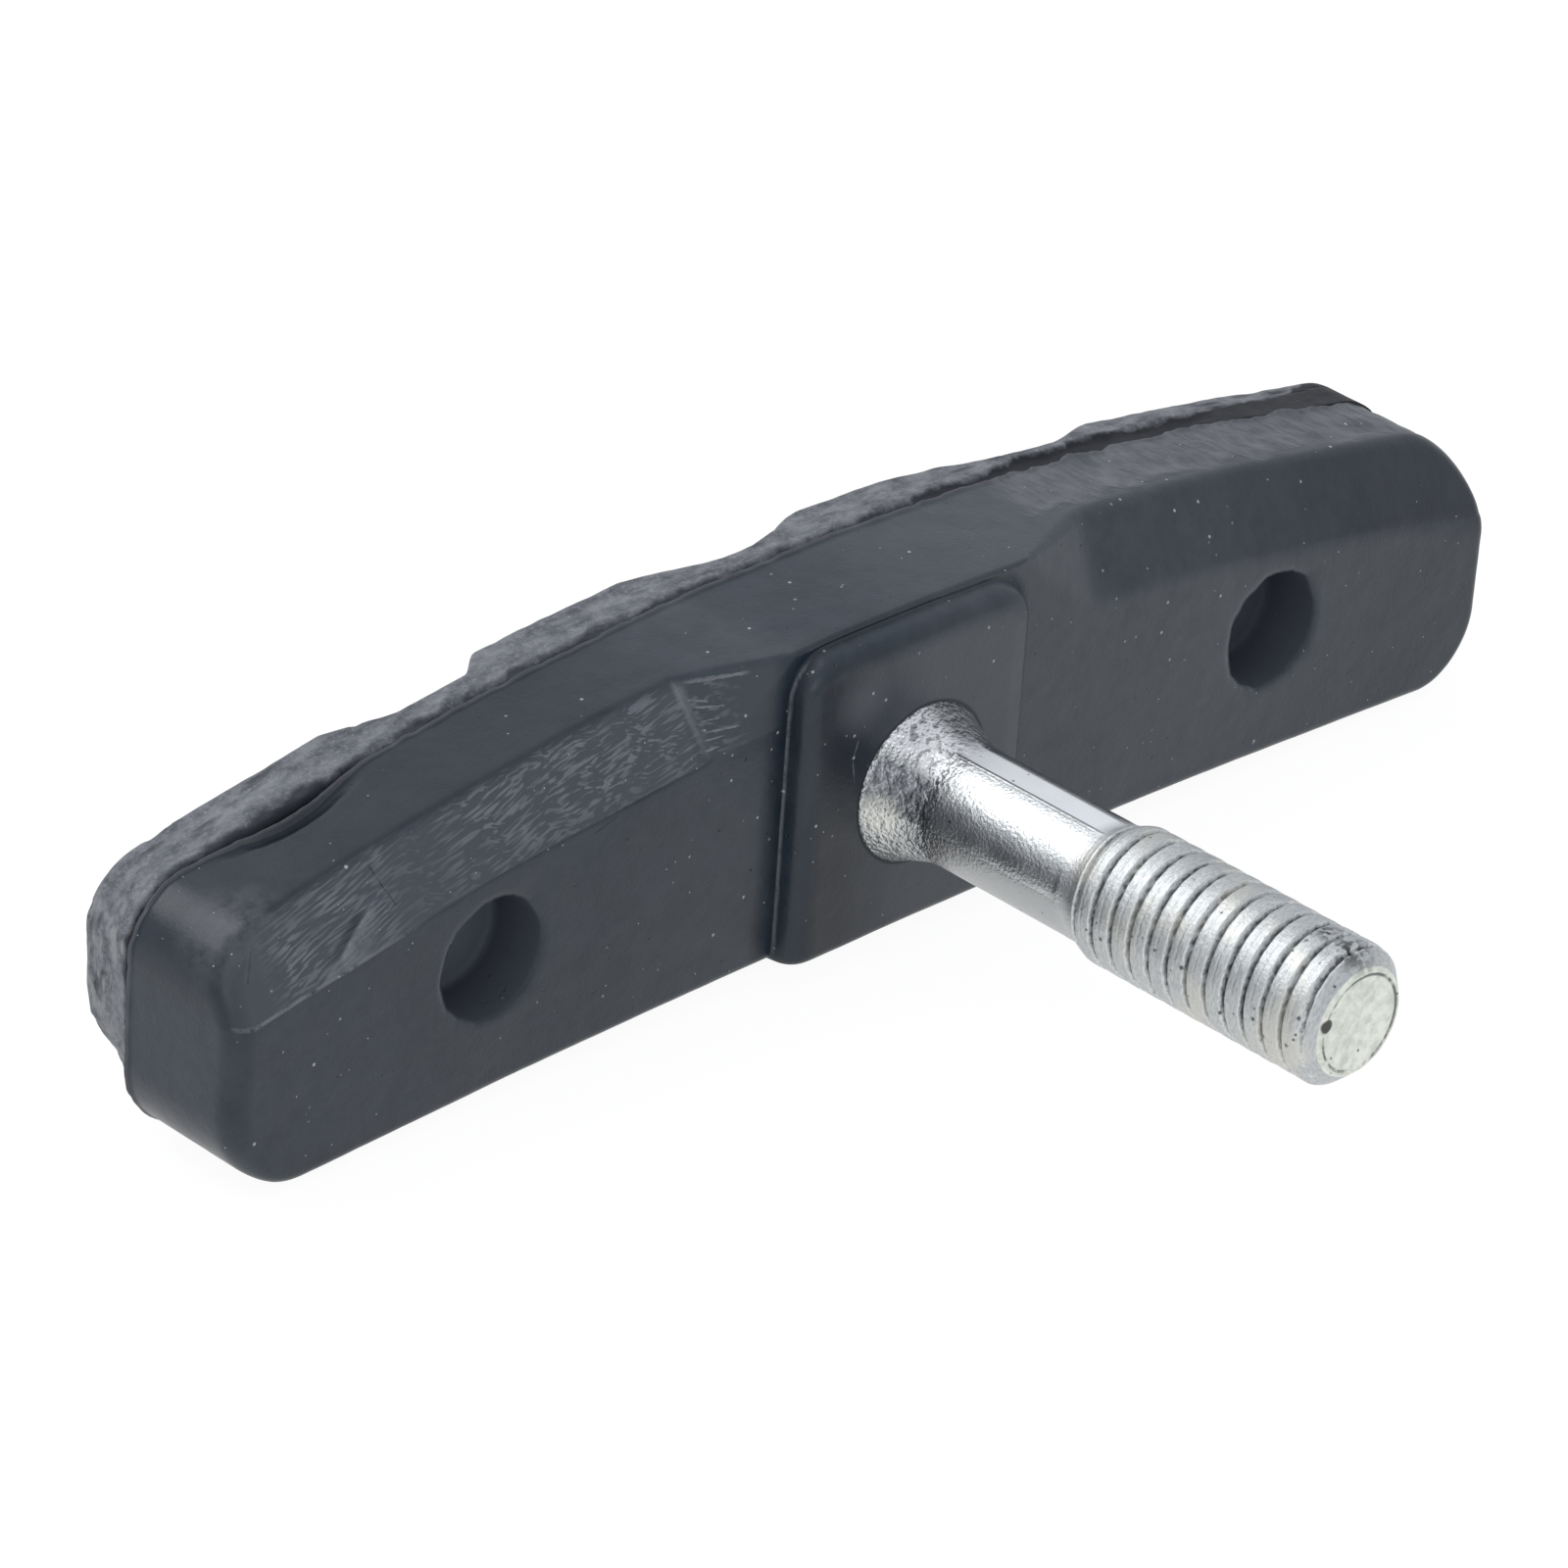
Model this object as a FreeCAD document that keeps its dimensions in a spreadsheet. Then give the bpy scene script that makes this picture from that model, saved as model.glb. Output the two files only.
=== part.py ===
"""A bicycle rim brake pad: a rubber block moulded around a steel plate and a threaded stud.

The frame: X runs along the block, the stud points along -Y, the friction face looks along +Y and the
arched edge of the block is up, along +Z. The origin is on the stud's axis, in the face of the boss.
"""
import FreeCAD, Part
import Sketcher
import math
import os

# Driving dimensions in millimetres, angles in degrees

SIZES = {
    # Outline of the block, seen along the stud
    "block_length": 70.0,
    "arch_top": 7.5,
    "arch_radius": 150.0,
    "underside_drop": 6.4,
    "underside_radius": 650.0,
    "top_corner_radius": 3.4,
    "bottom_corner_radius": 3.0,
    # Depths of the block, from the boss towards the rim
    "boss_depth": 1.2,
    "core_depth": 6.2,
    "friction_depth": 2.4,
    "back_edge_radius": 0.8,
    # Bevels along the back of the two wings
    "bevel_height": 3.2,
    "bevel_depth": 1.85,
    "middle_top_half_width": 8.8,
    "middle_foot_half_width": 11.0,
    # Mould parting lip around the block
    "lip_reach": 0.25,
    "lip_thickness": 0.4,
    # Friction layer and its grooves
    "friction_inset": 0.05,
    "friction_bottom_corner_radius": 4.2,
    "friction_edge_radius": 0.3,
    "groove_count": 3,
    "groove_pitch": 16.5,
    "groove_offset": -1.9,
    "groove_floor_width": 3.0,
    "groove_gentle_run": 4.2,
    "groove_steep_run": 2.3,
    "groove_depth": 1.05,
    # Boss around the stud
    "boss_width": 12.7,
    "boss_top_gap": 0.45,
    "boss_corner_radius": 1.8,
    "boss_edge_radius": 0.8,
    # Blind holes left by the pins that hold the plate in the mould
    "pin_hole_diameter": 5.2,
    "pin_hole_spacing": 43.8,
    "pin_hole_drop": 0.85,
    # Steel plate inside the rubber
    "plate_length": 60.0,
    "plate_width": 8.0,
    "plate_thickness": 1.5,
    "plate_cover": 2.8,
    "plate_corner_radius": 2.0,
    "key_hole_diameter": 3.4,
    "key_hole_spacing": 27.0,
    # Threaded stud, riveted into the plate
    "stud_reach": 23.7,
    "thread_diameter": 6.0,
    "thread_start": 10.9,
    "thread_runout": 0.5,
    "tip_diameter": 4.4,
    "tip_chamfer_length": 0.8,
    "neck_diameter": 5.15,
    "foot_diameter": 6.8,
    "flare_length": 2.0,
    "rivet_shank_diameter": 4.8,
    "rivet_head_diameter": 7.0,
    "rivet_head_height": 1.0,
    "rivet_head_chamfer": 0.3,
}

SHEET_NAME = "Sizes"
XY_PLANE = "XY_Plane"
XZ_PLANE = "XZ_Plane"
YZ_PLANE = "YZ_Plane"
# Points of a sketch's curve: its start, its end and its centre
START, END, CENTRE = range(1, 4)
# The sketch's own origin and its upright axis
ROOT = -1
V_AXIS = -2
# How far a cut or a filling runs past the surface that it meets
OVERRUN = 1.0
NEAR = 1e-4


class Size:
    """A length with its value and the expression that gives it from the sheet."""

    def __init__(self, value, text):
        self.value = value
        self.text = text

    def __add__(self, other):
        other = as_size(other)
        return Size(self.value + other.value, f"({self.text} + {other.text})")

    def __sub__(self, other):
        other = as_size(other)
        return Size(self.value - other.value, f"({self.text} - {other.text})")

    def __mul__(self, factor):
        return Size(self.value * factor, f"({self.text} * {factor})")

    def __neg__(self):
        return self * -1


def as_size(other):
    """A plain number as a Size."""
    if isinstance(other, Size):
        return other
    return Size(other, f"({other})")


def size(name):
    """The driving dimension of that name."""
    return Size(SIZES[name], f"{SHEET_NAME}.{name}")


def half(name):
    """Half of the driving dimension of that name."""
    return size(name) * 0.5


# Planes of the block along Y, and lines shared by several pieces

BOSS_FACE = Size(0.0, "0")
BACK_FACE = BOSS_FACE + size("boss_depth")
PARTING_PLANE = BACK_FACE + size("core_depth")
FRICTION_FACE = PARTING_PLANE + size("friction_depth")
PLATE_FRONT = BACK_FACE + size("plate_cover")
PLATE_BACK = PLATE_FRONT + size("plate_thickness")
ARCH_TOP = size("arch_top")
UNDERSIDE = -size("underside_drop")
PIN_HOLE_LEVEL = -size("pin_hole_drop")


def make_sheet(doc):
    """The spreadsheet with one named cell for each driving dimension."""
    sheet = doc.addObject("Spreadsheet::Sheet", SHEET_NAME)
    for row, (name, value) in enumerate(SIZES.items(), start=1):
        sheet.set(f"A{row}", name)
        sheet.set(f"B{row}", str(value))
        sheet.setAlias(f"B{row}", name)
    doc.recompute()


def make_body(doc, label):
    """An empty body with its own label."""
    body = doc.addObject("PartDesign::Body", label)
    body.Label = label
    return body


def make_sketch(body, name, role, height=None):
    """A sketch on one of the body's origin planes, moved along the plane's normal by height."""
    sketch = body.newObject("Sketcher::SketchObject", name)
    plane = [item for item in body.Origin.OriginFeatures if item.Role == role][0]
    sketch.AttachmentSupport = [(plane, "")]
    sketch.MapMode = "FlatFace"
    if height is not None:
        sketch.AttachmentOffset = FreeCAD.Placement(FreeCAD.Vector(0, 0, height.value), FreeCAD.Rotation())
        sketch.setExpression("AttachmentOffset.Base.z", height.text)
    return sketch


def constrain(sketch, kind, *where, value=None):
    """Adds a constraint, with its value bound to the sheet where it has one."""
    if value is None:
        sketch.addConstraint(Sketcher.Constraint(kind, *where))
        return
    index = sketch.addConstraint(Sketcher.Constraint(kind, *where, value.value))
    sketch.setExpression(f"Constraints[{index}]", value.text)


def place_point(sketch, curve, point, across, up):
    """Fixes a point of a curve at two distances from the sketch's origin."""
    constrain(sketch, "DistanceX", ROOT, START, curve, point, value=across)
    constrain(sketch, "DistanceY", ROOT, START, curve, point, value=up)


def draw_polygon(sketch, corners):
    """A closed outline of straight lines through the corners, each fixed from the sketch's origin."""
    count = len(corners)
    for index, (across, up) in enumerate(corners):
        next_across, next_up = corners[(index + 1) % count]
        start = FreeCAD.Vector(across.value, up.value, 0)
        end = FreeCAD.Vector(next_across.value, next_up.value, 0)
        sketch.addGeometry(Part.LineSegment(start, end), False)
    for index, (across, up) in enumerate(corners):
        constrain(sketch, "Coincident", index, END, (index + 1) % count, START)
        place_point(sketch, index, START, across, up)


def draw_circle(sketch, across, up, radius):
    """A circle with its centre fixed from the sketch's origin."""
    centre = FreeCAD.Vector(across.value, up.value, 0)
    curve = sketch.addGeometry(Part.Circle(centre, FreeCAD.Vector(0, 0, 1), radius.value), False)
    place_point(sketch, curve, CENTRE, across, up)
    constrain(sketch, "Radius", curve, value=radius)


def draw_arched_outline(sketch, half_length, top, top_radius, bottom, bottom_radius):
    """Two upright ends joined by an arc above and an arc below, both centred under the middle."""
    def arc(crown, radius):
        centre = FreeCAD.Vector(0, crown.value - radius.value, 0)
        lean = math.acos(half_length.value / radius.value)
        circle = Part.Circle(centre, FreeCAD.Vector(0, 0, 1), radius.value)
        return Part.ArcOfCircle(circle, lean, math.pi - lean)

    top_arc = sketch.addGeometry(arc(top, top_radius), False)
    bottom_arc = sketch.addGeometry(arc(bottom, bottom_radius), False)
    top_curve = sketch.Geometry[top_arc]
    bottom_curve = sketch.Geometry[bottom_arc]
    left = sketch.addGeometry(Part.LineSegment(top_curve.EndPoint, bottom_curve.EndPoint), False)
    right = sketch.addGeometry(Part.LineSegment(bottom_curve.StartPoint, top_curve.StartPoint), False)
    constrain(sketch, "Coincident", top_arc, END, left, START)
    constrain(sketch, "Coincident", left, END, bottom_arc, END)
    constrain(sketch, "Coincident", bottom_arc, START, right, START)
    constrain(sketch, "Coincident", right, END, top_arc, START)
    constrain(sketch, "Vertical", left)
    constrain(sketch, "Vertical", right)
    constrain(sketch, "DistanceX", ROOT, START, right, START, value=half_length)
    constrain(sketch, "DistanceX", ROOT, START, left, START, value=-half_length)
    for curve, crown, radius in ((top_arc, top, top_radius), (bottom_arc, bottom, bottom_radius)):
        constrain(sketch, "PointOnObject", curve, CENTRE, V_AXIS)
        constrain(sketch, "DistanceY", ROOT, START, curve, CENTRE, value=crown - radius)
        constrain(sketch, "Radius", curve, value=radius)


def add_pad(body, name, sketch, length):
    """Material from the sketch along its normal, which for an XZ sketch is -Y."""
    pad = body.newObject("PartDesign::Pad", name)
    pad.Profile = sketch
    pad.setExpression("Length", length.text)
    return pad


def add_fillet(doc, body, name, radius, chosen):
    """Rounds the edges of the body's last feature that the test picks."""
    doc.recompute()
    base = body.Tip
    edges = [f"Edge{number}" for number, edge in enumerate(base.Shape.Edges, start=1) if chosen(edge)]
    fillet = body.newObject("PartDesign::Fillet", name)
    fillet.Base = (base, edges)
    fillet.setExpression("Radius", radius.text)


def runs_along_y(edge):
    """Whether an edge is a straight one along Y."""
    start = edge.Vertexes[0].Point
    end = edge.Vertexes[-1].Point
    return math.hypot(start.x - end.x, start.z - end.z) < NEAR


def is_upper(edge):
    """Whether an edge lies above the stud's axis."""
    return edge.CenterOfMass.z > 0


def lies_at(plane):
    """A test that picks the edges that lie in one plane across Y."""
    def test(edge):
        return all(abs(vertex.Point.y - plane.value) < NEAR for vertex in edge.Vertexes)
    return test


def make_arched_block(doc, label, outline, near_plane, far_plane, top_corner, bottom_corner):
    """A body of the arched outline between two planes, with its four long corners rounded."""
    body = make_body(doc, label)
    sketch = make_sketch(body, f"{label}_outline", XZ_PLANE, -far_plane)
    draw_arched_outline(sketch, *outline)
    add_pad(body, f"{label}_pad", sketch, far_plane - near_plane)
    add_fillet(doc, body, f"{label}_top_corners", top_corner, lambda e: runs_along_y(e) and is_upper(e))
    add_fillet(doc, body, f"{label}_bottom_corners", bottom_corner, lambda e: runs_along_y(e) and not is_upper(e))
    return body


def block_outline(growth):
    """The outline of the block, grown by that much on every side."""
    return (
        half("block_length") + growth,
        ARCH_TOP + growth,
        size("arch_radius") + growth,
        UNDERSIDE - growth,
        size("underside_radius") - growth,
    )


def make_core(doc):
    """The main block: rounded back edge, bevelled wings and the upright middle between them."""
    body = make_arched_block(
        doc, "core", block_outline(Size(0.0, "0")), BACK_FACE, PARTING_PLANE,
        size("top_corner_radius"), size("bottom_corner_radius"),
    )
    add_fillet(doc, body, "core_back_edge", size("back_edge_radius"), lies_at(BACK_FACE))
    doc.recompute()
    bevel = make_sketch(body, "bevel_section", YZ_PLANE)
    draw_bevel_section(bevel)
    groove = body.newObject("PartDesign::Groove", "bevel")
    groove.Profile = bevel
    groove.ReferenceAxis = (bevel, ["Axis0"])
    groove.Angle = 360
    doc.recompute()
    middle = make_sketch(body, "middle_outline", XZ_PLANE, -(BACK_FACE + size("bevel_depth") + OVERRUN))
    draw_middle_outline(middle)
    add_pad(body, "middle", middle, size("bevel_depth") + OVERRUN)
    return body


def draw_bevel_section(sketch):
    """The triangle that the bevel takes off, and the arch's axis, which it is turned about."""
    back = BACK_FACE
    foot = ARCH_TOP - size("bevel_height")
    outer_y = back - size("bevel_depth")
    foot_z = foot - size("bevel_height")
    top_y = back + size("bevel_depth") * 2
    top_z = foot + size("bevel_height") * 2
    draw_polygon(sketch, [(outer_y, foot_z), (top_y, top_z), (outer_y, top_z)])
    axis_z = ARCH_TOP - size("arch_radius")
    start = FreeCAD.Vector(0, axis_z.value, 0)
    end = FreeCAD.Vector(FRICTION_FACE.value, axis_z.value, 0)
    axis = sketch.addGeometry(Part.LineSegment(start, end), True)
    place_point(sketch, axis, START, Size(0.0, "0"), axis_z)
    place_point(sketch, axis, END, FRICTION_FACE, axis_z)


def draw_middle_outline(sketch):
    """The upright middle: the arch above, leaning sides and a straight foot below the bevels."""
    top_half = size("middle_top_half_width")
    foot_half = size("middle_foot_half_width")
    foot = ARCH_TOP - size("bevel_height") - OVERRUN
    radius = size("arch_radius")
    centre = FreeCAD.Vector(0, ARCH_TOP.value - radius.value, 0)
    lean = math.acos(top_half.value / radius.value)
    circle = Part.Circle(centre, FreeCAD.Vector(0, 0, 1), radius.value)
    arc = sketch.addGeometry(Part.ArcOfCircle(circle, lean, math.pi - lean), False)
    curve = sketch.Geometry[arc]
    left_foot = FreeCAD.Vector(-foot_half.value, foot.value, 0)
    right_foot = FreeCAD.Vector(foot_half.value, foot.value, 0)
    left = sketch.addGeometry(Part.LineSegment(curve.EndPoint, left_foot), False)
    base = sketch.addGeometry(Part.LineSegment(left_foot, right_foot), False)
    right = sketch.addGeometry(Part.LineSegment(right_foot, curve.StartPoint), False)
    constrain(sketch, "Coincident", arc, END, left, START)
    constrain(sketch, "Coincident", left, END, base, START)
    constrain(sketch, "Coincident", base, END, right, START)
    constrain(sketch, "Coincident", right, END, arc, START)
    constrain(sketch, "PointOnObject", arc, CENTRE, V_AXIS)
    constrain(sketch, "DistanceY", ROOT, START, arc, CENTRE, value=ARCH_TOP - radius)
    constrain(sketch, "Radius", arc, value=radius)
    constrain(sketch, "DistanceX", ROOT, START, arc, START, value=top_half)
    constrain(sketch, "DistanceX", ROOT, START, arc, END, value=-top_half)
    place_point(sketch, base, START, -foot_half, foot)
    place_point(sketch, base, END, foot_half, foot)


def make_friction_layer(doc):
    """The layer that meets the rim, a little inside the block's outline, with grooves across it."""
    body = make_arched_block(
        doc, "friction_layer", block_outline(-size("friction_inset")), PARTING_PLANE, FRICTION_FACE,
        size("top_corner_radius"), size("friction_bottom_corner_radius"),
    )
    add_fillet(doc, body, "friction_edge", size("friction_edge_radius"), lies_at(FRICTION_FACE))
    doc.recompute()
    sketch = make_sketch(body, "groove_section", XY_PLANE)
    floor = FRICTION_FACE - size("groove_depth")
    steps = SIZES["groove_count"] - 1
    first_middle = size("groove_offset") - size("groove_pitch") * (steps / 2)
    floor_left = first_middle - half("groove_floor_width")
    floor_right = first_middle + half("groove_floor_width")
    face_left = floor_left - size("groove_gentle_run")
    face_right = floor_right + size("groove_steep_run")
    above = FRICTION_FACE + OVERRUN
    draw_polygon(sketch, [
        (floor_left, floor), (floor_right, floor), (face_right, FRICTION_FACE),
        (face_right, above), (face_left, above), (face_left, FRICTION_FACE),
    ])
    pocket = body.newObject("PartDesign::Pocket", "groove")
    pocket.Profile = sketch
    pocket.Type = "ThroughAll"
    pocket.Midplane = True
    doc.recompute()
    if steps > 0:
        pattern = body.newObject("PartDesign::LinearPattern", "grooves")
        pattern.Originals = [pocket]
        pattern.Direction = (sketch, ["H_Axis"])
        pattern.setExpression("Length", (size("groove_pitch") * steps).text)
        pattern.setExpression("Occurrences", f"{SHEET_NAME}.groove_count")
        body.Tip = pattern
    return body


def make_parting_lip(doc):
    """The thin lip where the two mould halves met."""
    lip_half = half("lip_thickness")
    return make_arched_block(
        doc, "parting_lip", block_outline(size("lip_reach")), PARTING_PLANE - lip_half, PARTING_PLANE + lip_half,
        size("top_corner_radius") + size("lip_reach"), size("bottom_corner_radius") + size("lip_reach"),
    )


def make_boss(doc):
    """The raised seat around the stud, carried into the core so that it closes on its rounded edge."""
    outline = (
        half("boss_width"),
        ARCH_TOP - size("boss_top_gap"),
        size("arch_radius") - size("boss_top_gap"),
        UNDERSIDE,
        size("underside_radius"),
    )
    corner = size("boss_corner_radius")
    root = BACK_FACE + size("back_edge_radius")
    body = make_arched_block(doc, "boss", outline, BOSS_FACE, root, corner, corner)
    add_fillet(doc, body, "boss_edge", size("boss_edge_radius"), lies_at(BOSS_FACE))
    return body


def make_pin_holes(doc):
    """The two blind holes, as the pins that leave them, from behind the block to the plate."""
    body = make_body(doc, "mould_pins")
    sketch = make_sketch(body, "mould_pin_circles", XZ_PLANE, -PLATE_FRONT)
    for side in (-1, 1):
        draw_circle(sketch, half("pin_hole_spacing") * side, PIN_HOLE_LEVEL, half("pin_hole_diameter"))
    add_pad(body, "mould_pin_pad", sketch, PLATE_FRONT)
    return body


def make_plate(doc):
    """The stamped plate, with a hole for the rivet shank and two that the rubber runs through."""
    body = make_body(doc, "backing_plate")
    sketch = make_sketch(body, "plate_outline", XZ_PLANE, -PLATE_BACK)
    left = -half("plate_length")
    right = half("plate_length")
    bottom = PIN_HOLE_LEVEL - half("plate_width")
    top = PIN_HOLE_LEVEL + half("plate_width")
    draw_polygon(sketch, [(left, bottom), (right, bottom), (right, top), (left, top)])
    add_pad(body, "plate_pad", sketch, size("plate_thickness"))
    add_fillet(doc, body, "plate_corners", size("plate_corner_radius"), runs_along_y)
    doc.recompute()
    holes = make_sketch(body, "plate_holes", XZ_PLANE, -PLATE_FRONT)
    draw_circle(holes, Size(0.0, "0"), Size(0.0, "0"), half("rivet_shank_diameter"))
    for side in (-1, 1):
        draw_circle(holes, half("key_hole_spacing") * side, PIN_HOLE_LEVEL, half("key_hole_diameter"))
    pocket = body.newObject("PartDesign::Pocket", "plate_hole_pocket")
    pocket.Profile = holes
    pocket.setExpression("Length", size("plate_thickness").text)
    return body


def make_stud(doc):
    """The cold-headed stud, turned about the Y axis: rivet head, shank, shoulder, flare, neck and thread."""
    body = make_body(doc, "threaded_stud")
    sketch = make_sketch(body, "stud_section", XY_PLANE)
    axis = Size(0.0, "0")
    head = half("rivet_head_diameter")
    head_top = PLATE_BACK + size("rivet_head_height")
    shank = half("rivet_shank_diameter")
    foot = half("foot_diameter")
    neck = half("neck_diameter")
    thread = half("thread_diameter")
    tip = half("tip_diameter")
    flare_end = -size("flare_length")
    reach = -size("stud_reach")
    corners = [
        (axis, head_top),
        (head - size("rivet_head_chamfer"), head_top),
        (head, head_top - size("rivet_head_chamfer")),
        (head, PLATE_BACK),
        (shank, PLATE_BACK),
        (shank, PLATE_FRONT),
        (foot, PLATE_FRONT),
        (foot, BOSS_FACE),
        (neck, flare_end),
        (neck, -size("thread_start") + size("thread_runout")),
        (thread, -size("thread_start")),
        (thread, reach + size("tip_chamfer_length")),
        (tip, reach),
        (axis, reach),
    ]
    flare_line = 7
    draw_polygon(sketch, corners)
    bend_line(sketch, flare_line, corners[flare_line], corners[flare_line + 1])
    turn = body.newObject("PartDesign::Revolution", "stud_turn")
    turn.Profile = sketch
    turn.ReferenceAxis = (sketch, ["V_Axis"])
    turn.Angle = 360
    return body


def bend_line(sketch, line, foot, neck):
    """Swaps a straight line for the hollow arc of the flare, which runs on into the neck."""
    sketch.toggleConstruction(line)
    step = foot[0].value - neck[0].value
    drop = foot[1].value - neck[1].value
    radius = (step * step + drop * drop) / (2 * step)
    centre = FreeCAD.Vector(neck[0].value + radius, neck[1].value, 0)
    circle = Part.Circle(centre, FreeCAD.Vector(0, 0, 1), radius)
    foot_angle = math.atan2(drop, step - radius)
    arc = sketch.addGeometry(Part.ArcOfCircle(circle, foot_angle, math.pi), False)
    constrain(sketch, "Coincident", arc, START, line, START)
    constrain(sketch, "Tangent", arc, END, line + 1, START)


def join_rubber(doc, pieces, pins, insert):
    """The rubber: its moulded parts in one, less the pin holes and what is moulded in."""
    whole = doc.addObject("Part::MultiFuse", "moulded_shape")
    whole.Shapes = pieces
    taken = doc.addObject("Part::MultiFuse", "taken_out")
    taken.Shapes = [pins] + insert
    rubber = doc.addObject("Part::Cut", "rubber_block")
    rubber.Base = whole
    rubber.Tool = taken
    rubber.Label = "rubber_block"
    return rubber


def check(doc, pieces):
    """Stops if any object failed or any piece isn't one valid solid."""
    for item in doc.Objects:
        if "Invalid" in item.State or "Error" in item.State:
            raise RuntimeError(f"{item.Name} failed: {item.State}")
    for piece in pieces:
        shape = piece.Shape
        if shape.isNull() or not shape.isValid() or len(shape.Solids) != 1:
            raise RuntimeError(f"{piece.Label} isn't one valid solid")
        box = shape.BoundBox
        print(f"{piece.Label}: {shape.Volume:.1f} mm3, x {box.XMin:.2f} {box.XMax:.2f}, "
              f"y {box.YMin:.2f} {box.YMax:.2f}, z {box.ZMin:.2f} {box.ZMax:.2f}")


def main():
    """Builds the pad and writes one STEP file for each piece."""
    doc = FreeCAD.newDocument("brake_pad")
    make_sheet(doc)
    moulded = [make_core(doc), make_friction_layer(doc), make_parting_lip(doc), make_boss(doc)]
    pins = make_pin_holes(doc)
    plate = make_plate(doc)
    stud = make_stud(doc)
    rubber = join_rubber(doc, moulded, pins, [plate, stud])
    doc.recompute()
    pieces = [rubber, plate, stud]
    check(doc, pieces)
    os.makedirs("parts", exist_ok=True)
    for piece in pieces:
        piece.Shape.exportStep(f"parts/{piece.Label}.step")


main()
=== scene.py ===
"""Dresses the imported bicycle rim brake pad: its moulded rubber block, steel plate and threaded stud.

The rubber block is made as two closed skins, the core with its bevels, boss and pin holes, and the
friction layer with its grooves. The stud is one turned skin with a rolled thread.
Lengths are in millimetres until a mesh is made, and the axes are those of the CAD model.
"""

import bpy
import numpy as np
from mathutils import Matrix


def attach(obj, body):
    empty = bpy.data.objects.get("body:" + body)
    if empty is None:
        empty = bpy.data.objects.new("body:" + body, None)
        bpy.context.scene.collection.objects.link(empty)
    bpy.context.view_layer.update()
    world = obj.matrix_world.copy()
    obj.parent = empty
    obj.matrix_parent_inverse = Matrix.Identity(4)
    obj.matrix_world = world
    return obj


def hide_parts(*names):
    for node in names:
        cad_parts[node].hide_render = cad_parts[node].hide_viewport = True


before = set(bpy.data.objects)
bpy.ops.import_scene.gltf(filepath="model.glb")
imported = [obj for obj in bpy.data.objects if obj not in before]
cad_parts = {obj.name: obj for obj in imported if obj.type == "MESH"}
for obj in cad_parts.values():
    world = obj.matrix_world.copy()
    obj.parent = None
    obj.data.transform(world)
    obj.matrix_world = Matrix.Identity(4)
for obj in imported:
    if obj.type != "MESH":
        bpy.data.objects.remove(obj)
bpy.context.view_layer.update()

MM = 0.001

# The pad's outline, seen along Y
LEFT_END = -35.0
RIGHT_END = 35.12
ARCH_TOP = 7.5
ARCH_RADIUS = 150.0
UNDERSIDE_DROP = 6.4
UNDERSIDE_RADIUS = 650.0
TOP_CORNERS = (3.0, 3.5)
LOW_CORNERS = (3.7, 3.2)
FLOOR_LEVEL = -7.44

# Depths through the pad, along Y
BOSS_FACE = 0.0
BACK_FACE = 1.2
PARTING = 7.35
FRICTION_FACE = 9.8
HOLE_FLOOR = 3.9

# The bevels on the wings, the ramps that end them, and the boss round the stud
BEVEL_HEIGHT = 3.15
LEFT_BEVEL_DEPTH = 1.72
RIGHT_BEVEL_DEPTH = 2.08
RAMP_SLOPE = (0.611, 0.792)
BOSS_CENTRE = (-0.2, -1.4)
BOSS_HALF = (6.35, 8.5)
BOSS_CORNER = 1.7

# The grid that covers the pad's faces
COLUMNS = 452
ROWS = 100
FACE_POINTS = (COLUMNS + 1) * (ROWS + 1)
GRID = np.arange(FACE_POINTS).reshape(COLUMNS + 1, ROWS + 1)

# The pin holes
HOLE_X = 21.9
HOLE_Z = -0.85
HOLE_RADIUS = 2.6
HOLE_RINGS = 26
RIM_RING = 18
FLOOR_RING = 8

# The stud, along Y from the rivet head to the tip
HEAD_END = 6.5
PLATE_BACK = 5.5
PLATE_FRONT = 4.0
HEAD_RADIUS = 3.5
SHANK_RADIUS = 2.4
STUD_TIP = -23.7
THREAD_START = -10.7
CREST_RADIUS = 2.96
ROOT_RADIUS = 2.58
NECK_RADIUS = 2.57
FOOT_RADIUS = 3.45
FLARE = 2.6
PITCH = 1.0
FLAT_AT = 86.0
FLAT_HALF = 17.0
DIE_LINE_AT = 105.0
POINTS_AROUND = 232


def smooth(t):
    """Fade from 0 to 1 without corners: 3t^2 - 2t^3, held flat outside 0 to 1."""
    t = np.clip(t, 0.0, 1.0)
    return t * t * (3 - 2 * t)


def band(value, low, high, edge):
    """1 where value lies between low and high, fading to 0 over edge on both sides."""
    return smooth((value - low + edge) / edge) * smooth((high + edge - value) / edge)


def lumps(points, cell, seed):
    """Lumpy noise from -1 to 1: hashed values at the corners of a cubic lattice whose
    side is cell, blended along each axis with the fade 3t^2 - 2t^3."""
    place = points / cell + seed * 17.31
    base = np.floor(place).astype(np.int64)
    part = smooth(place - base)
    total = np.zeros(points.shape[:-1])
    for corner in np.ndindex(2, 2, 2):
        near = np.array(corner)
        x, y, z = np.moveaxis(base + near, -1, 0)
        mixed = (x * 73856093) ^ (y * 19349663) ^ (z * 83492791)
        mixed = (mixed ^ (mixed >> 13)) * 1274126177
        value = ((mixed ^ (mixed >> 16)) & 0xFFFF) / 32767.5 - 1.0
        share = np.prod(np.where(near == 1, part, 1 - part), axis=-1)
        total += share * value
    return total


def rough(points, cell, seed, octaves=3):
    """Lumpy noise added up over octaves, each with half the cell and half the height."""
    return sum(lumps(points, cell / 2**k, seed + k) / 2**k for k in range(octaves))


def arch(x):
    """Height of the arched top at x, on a circle of ARCH_RADIUS."""
    return ARCH_TOP - ARCH_RADIUS + np.sqrt(ARCH_RADIUS**2 - x**2)


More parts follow.
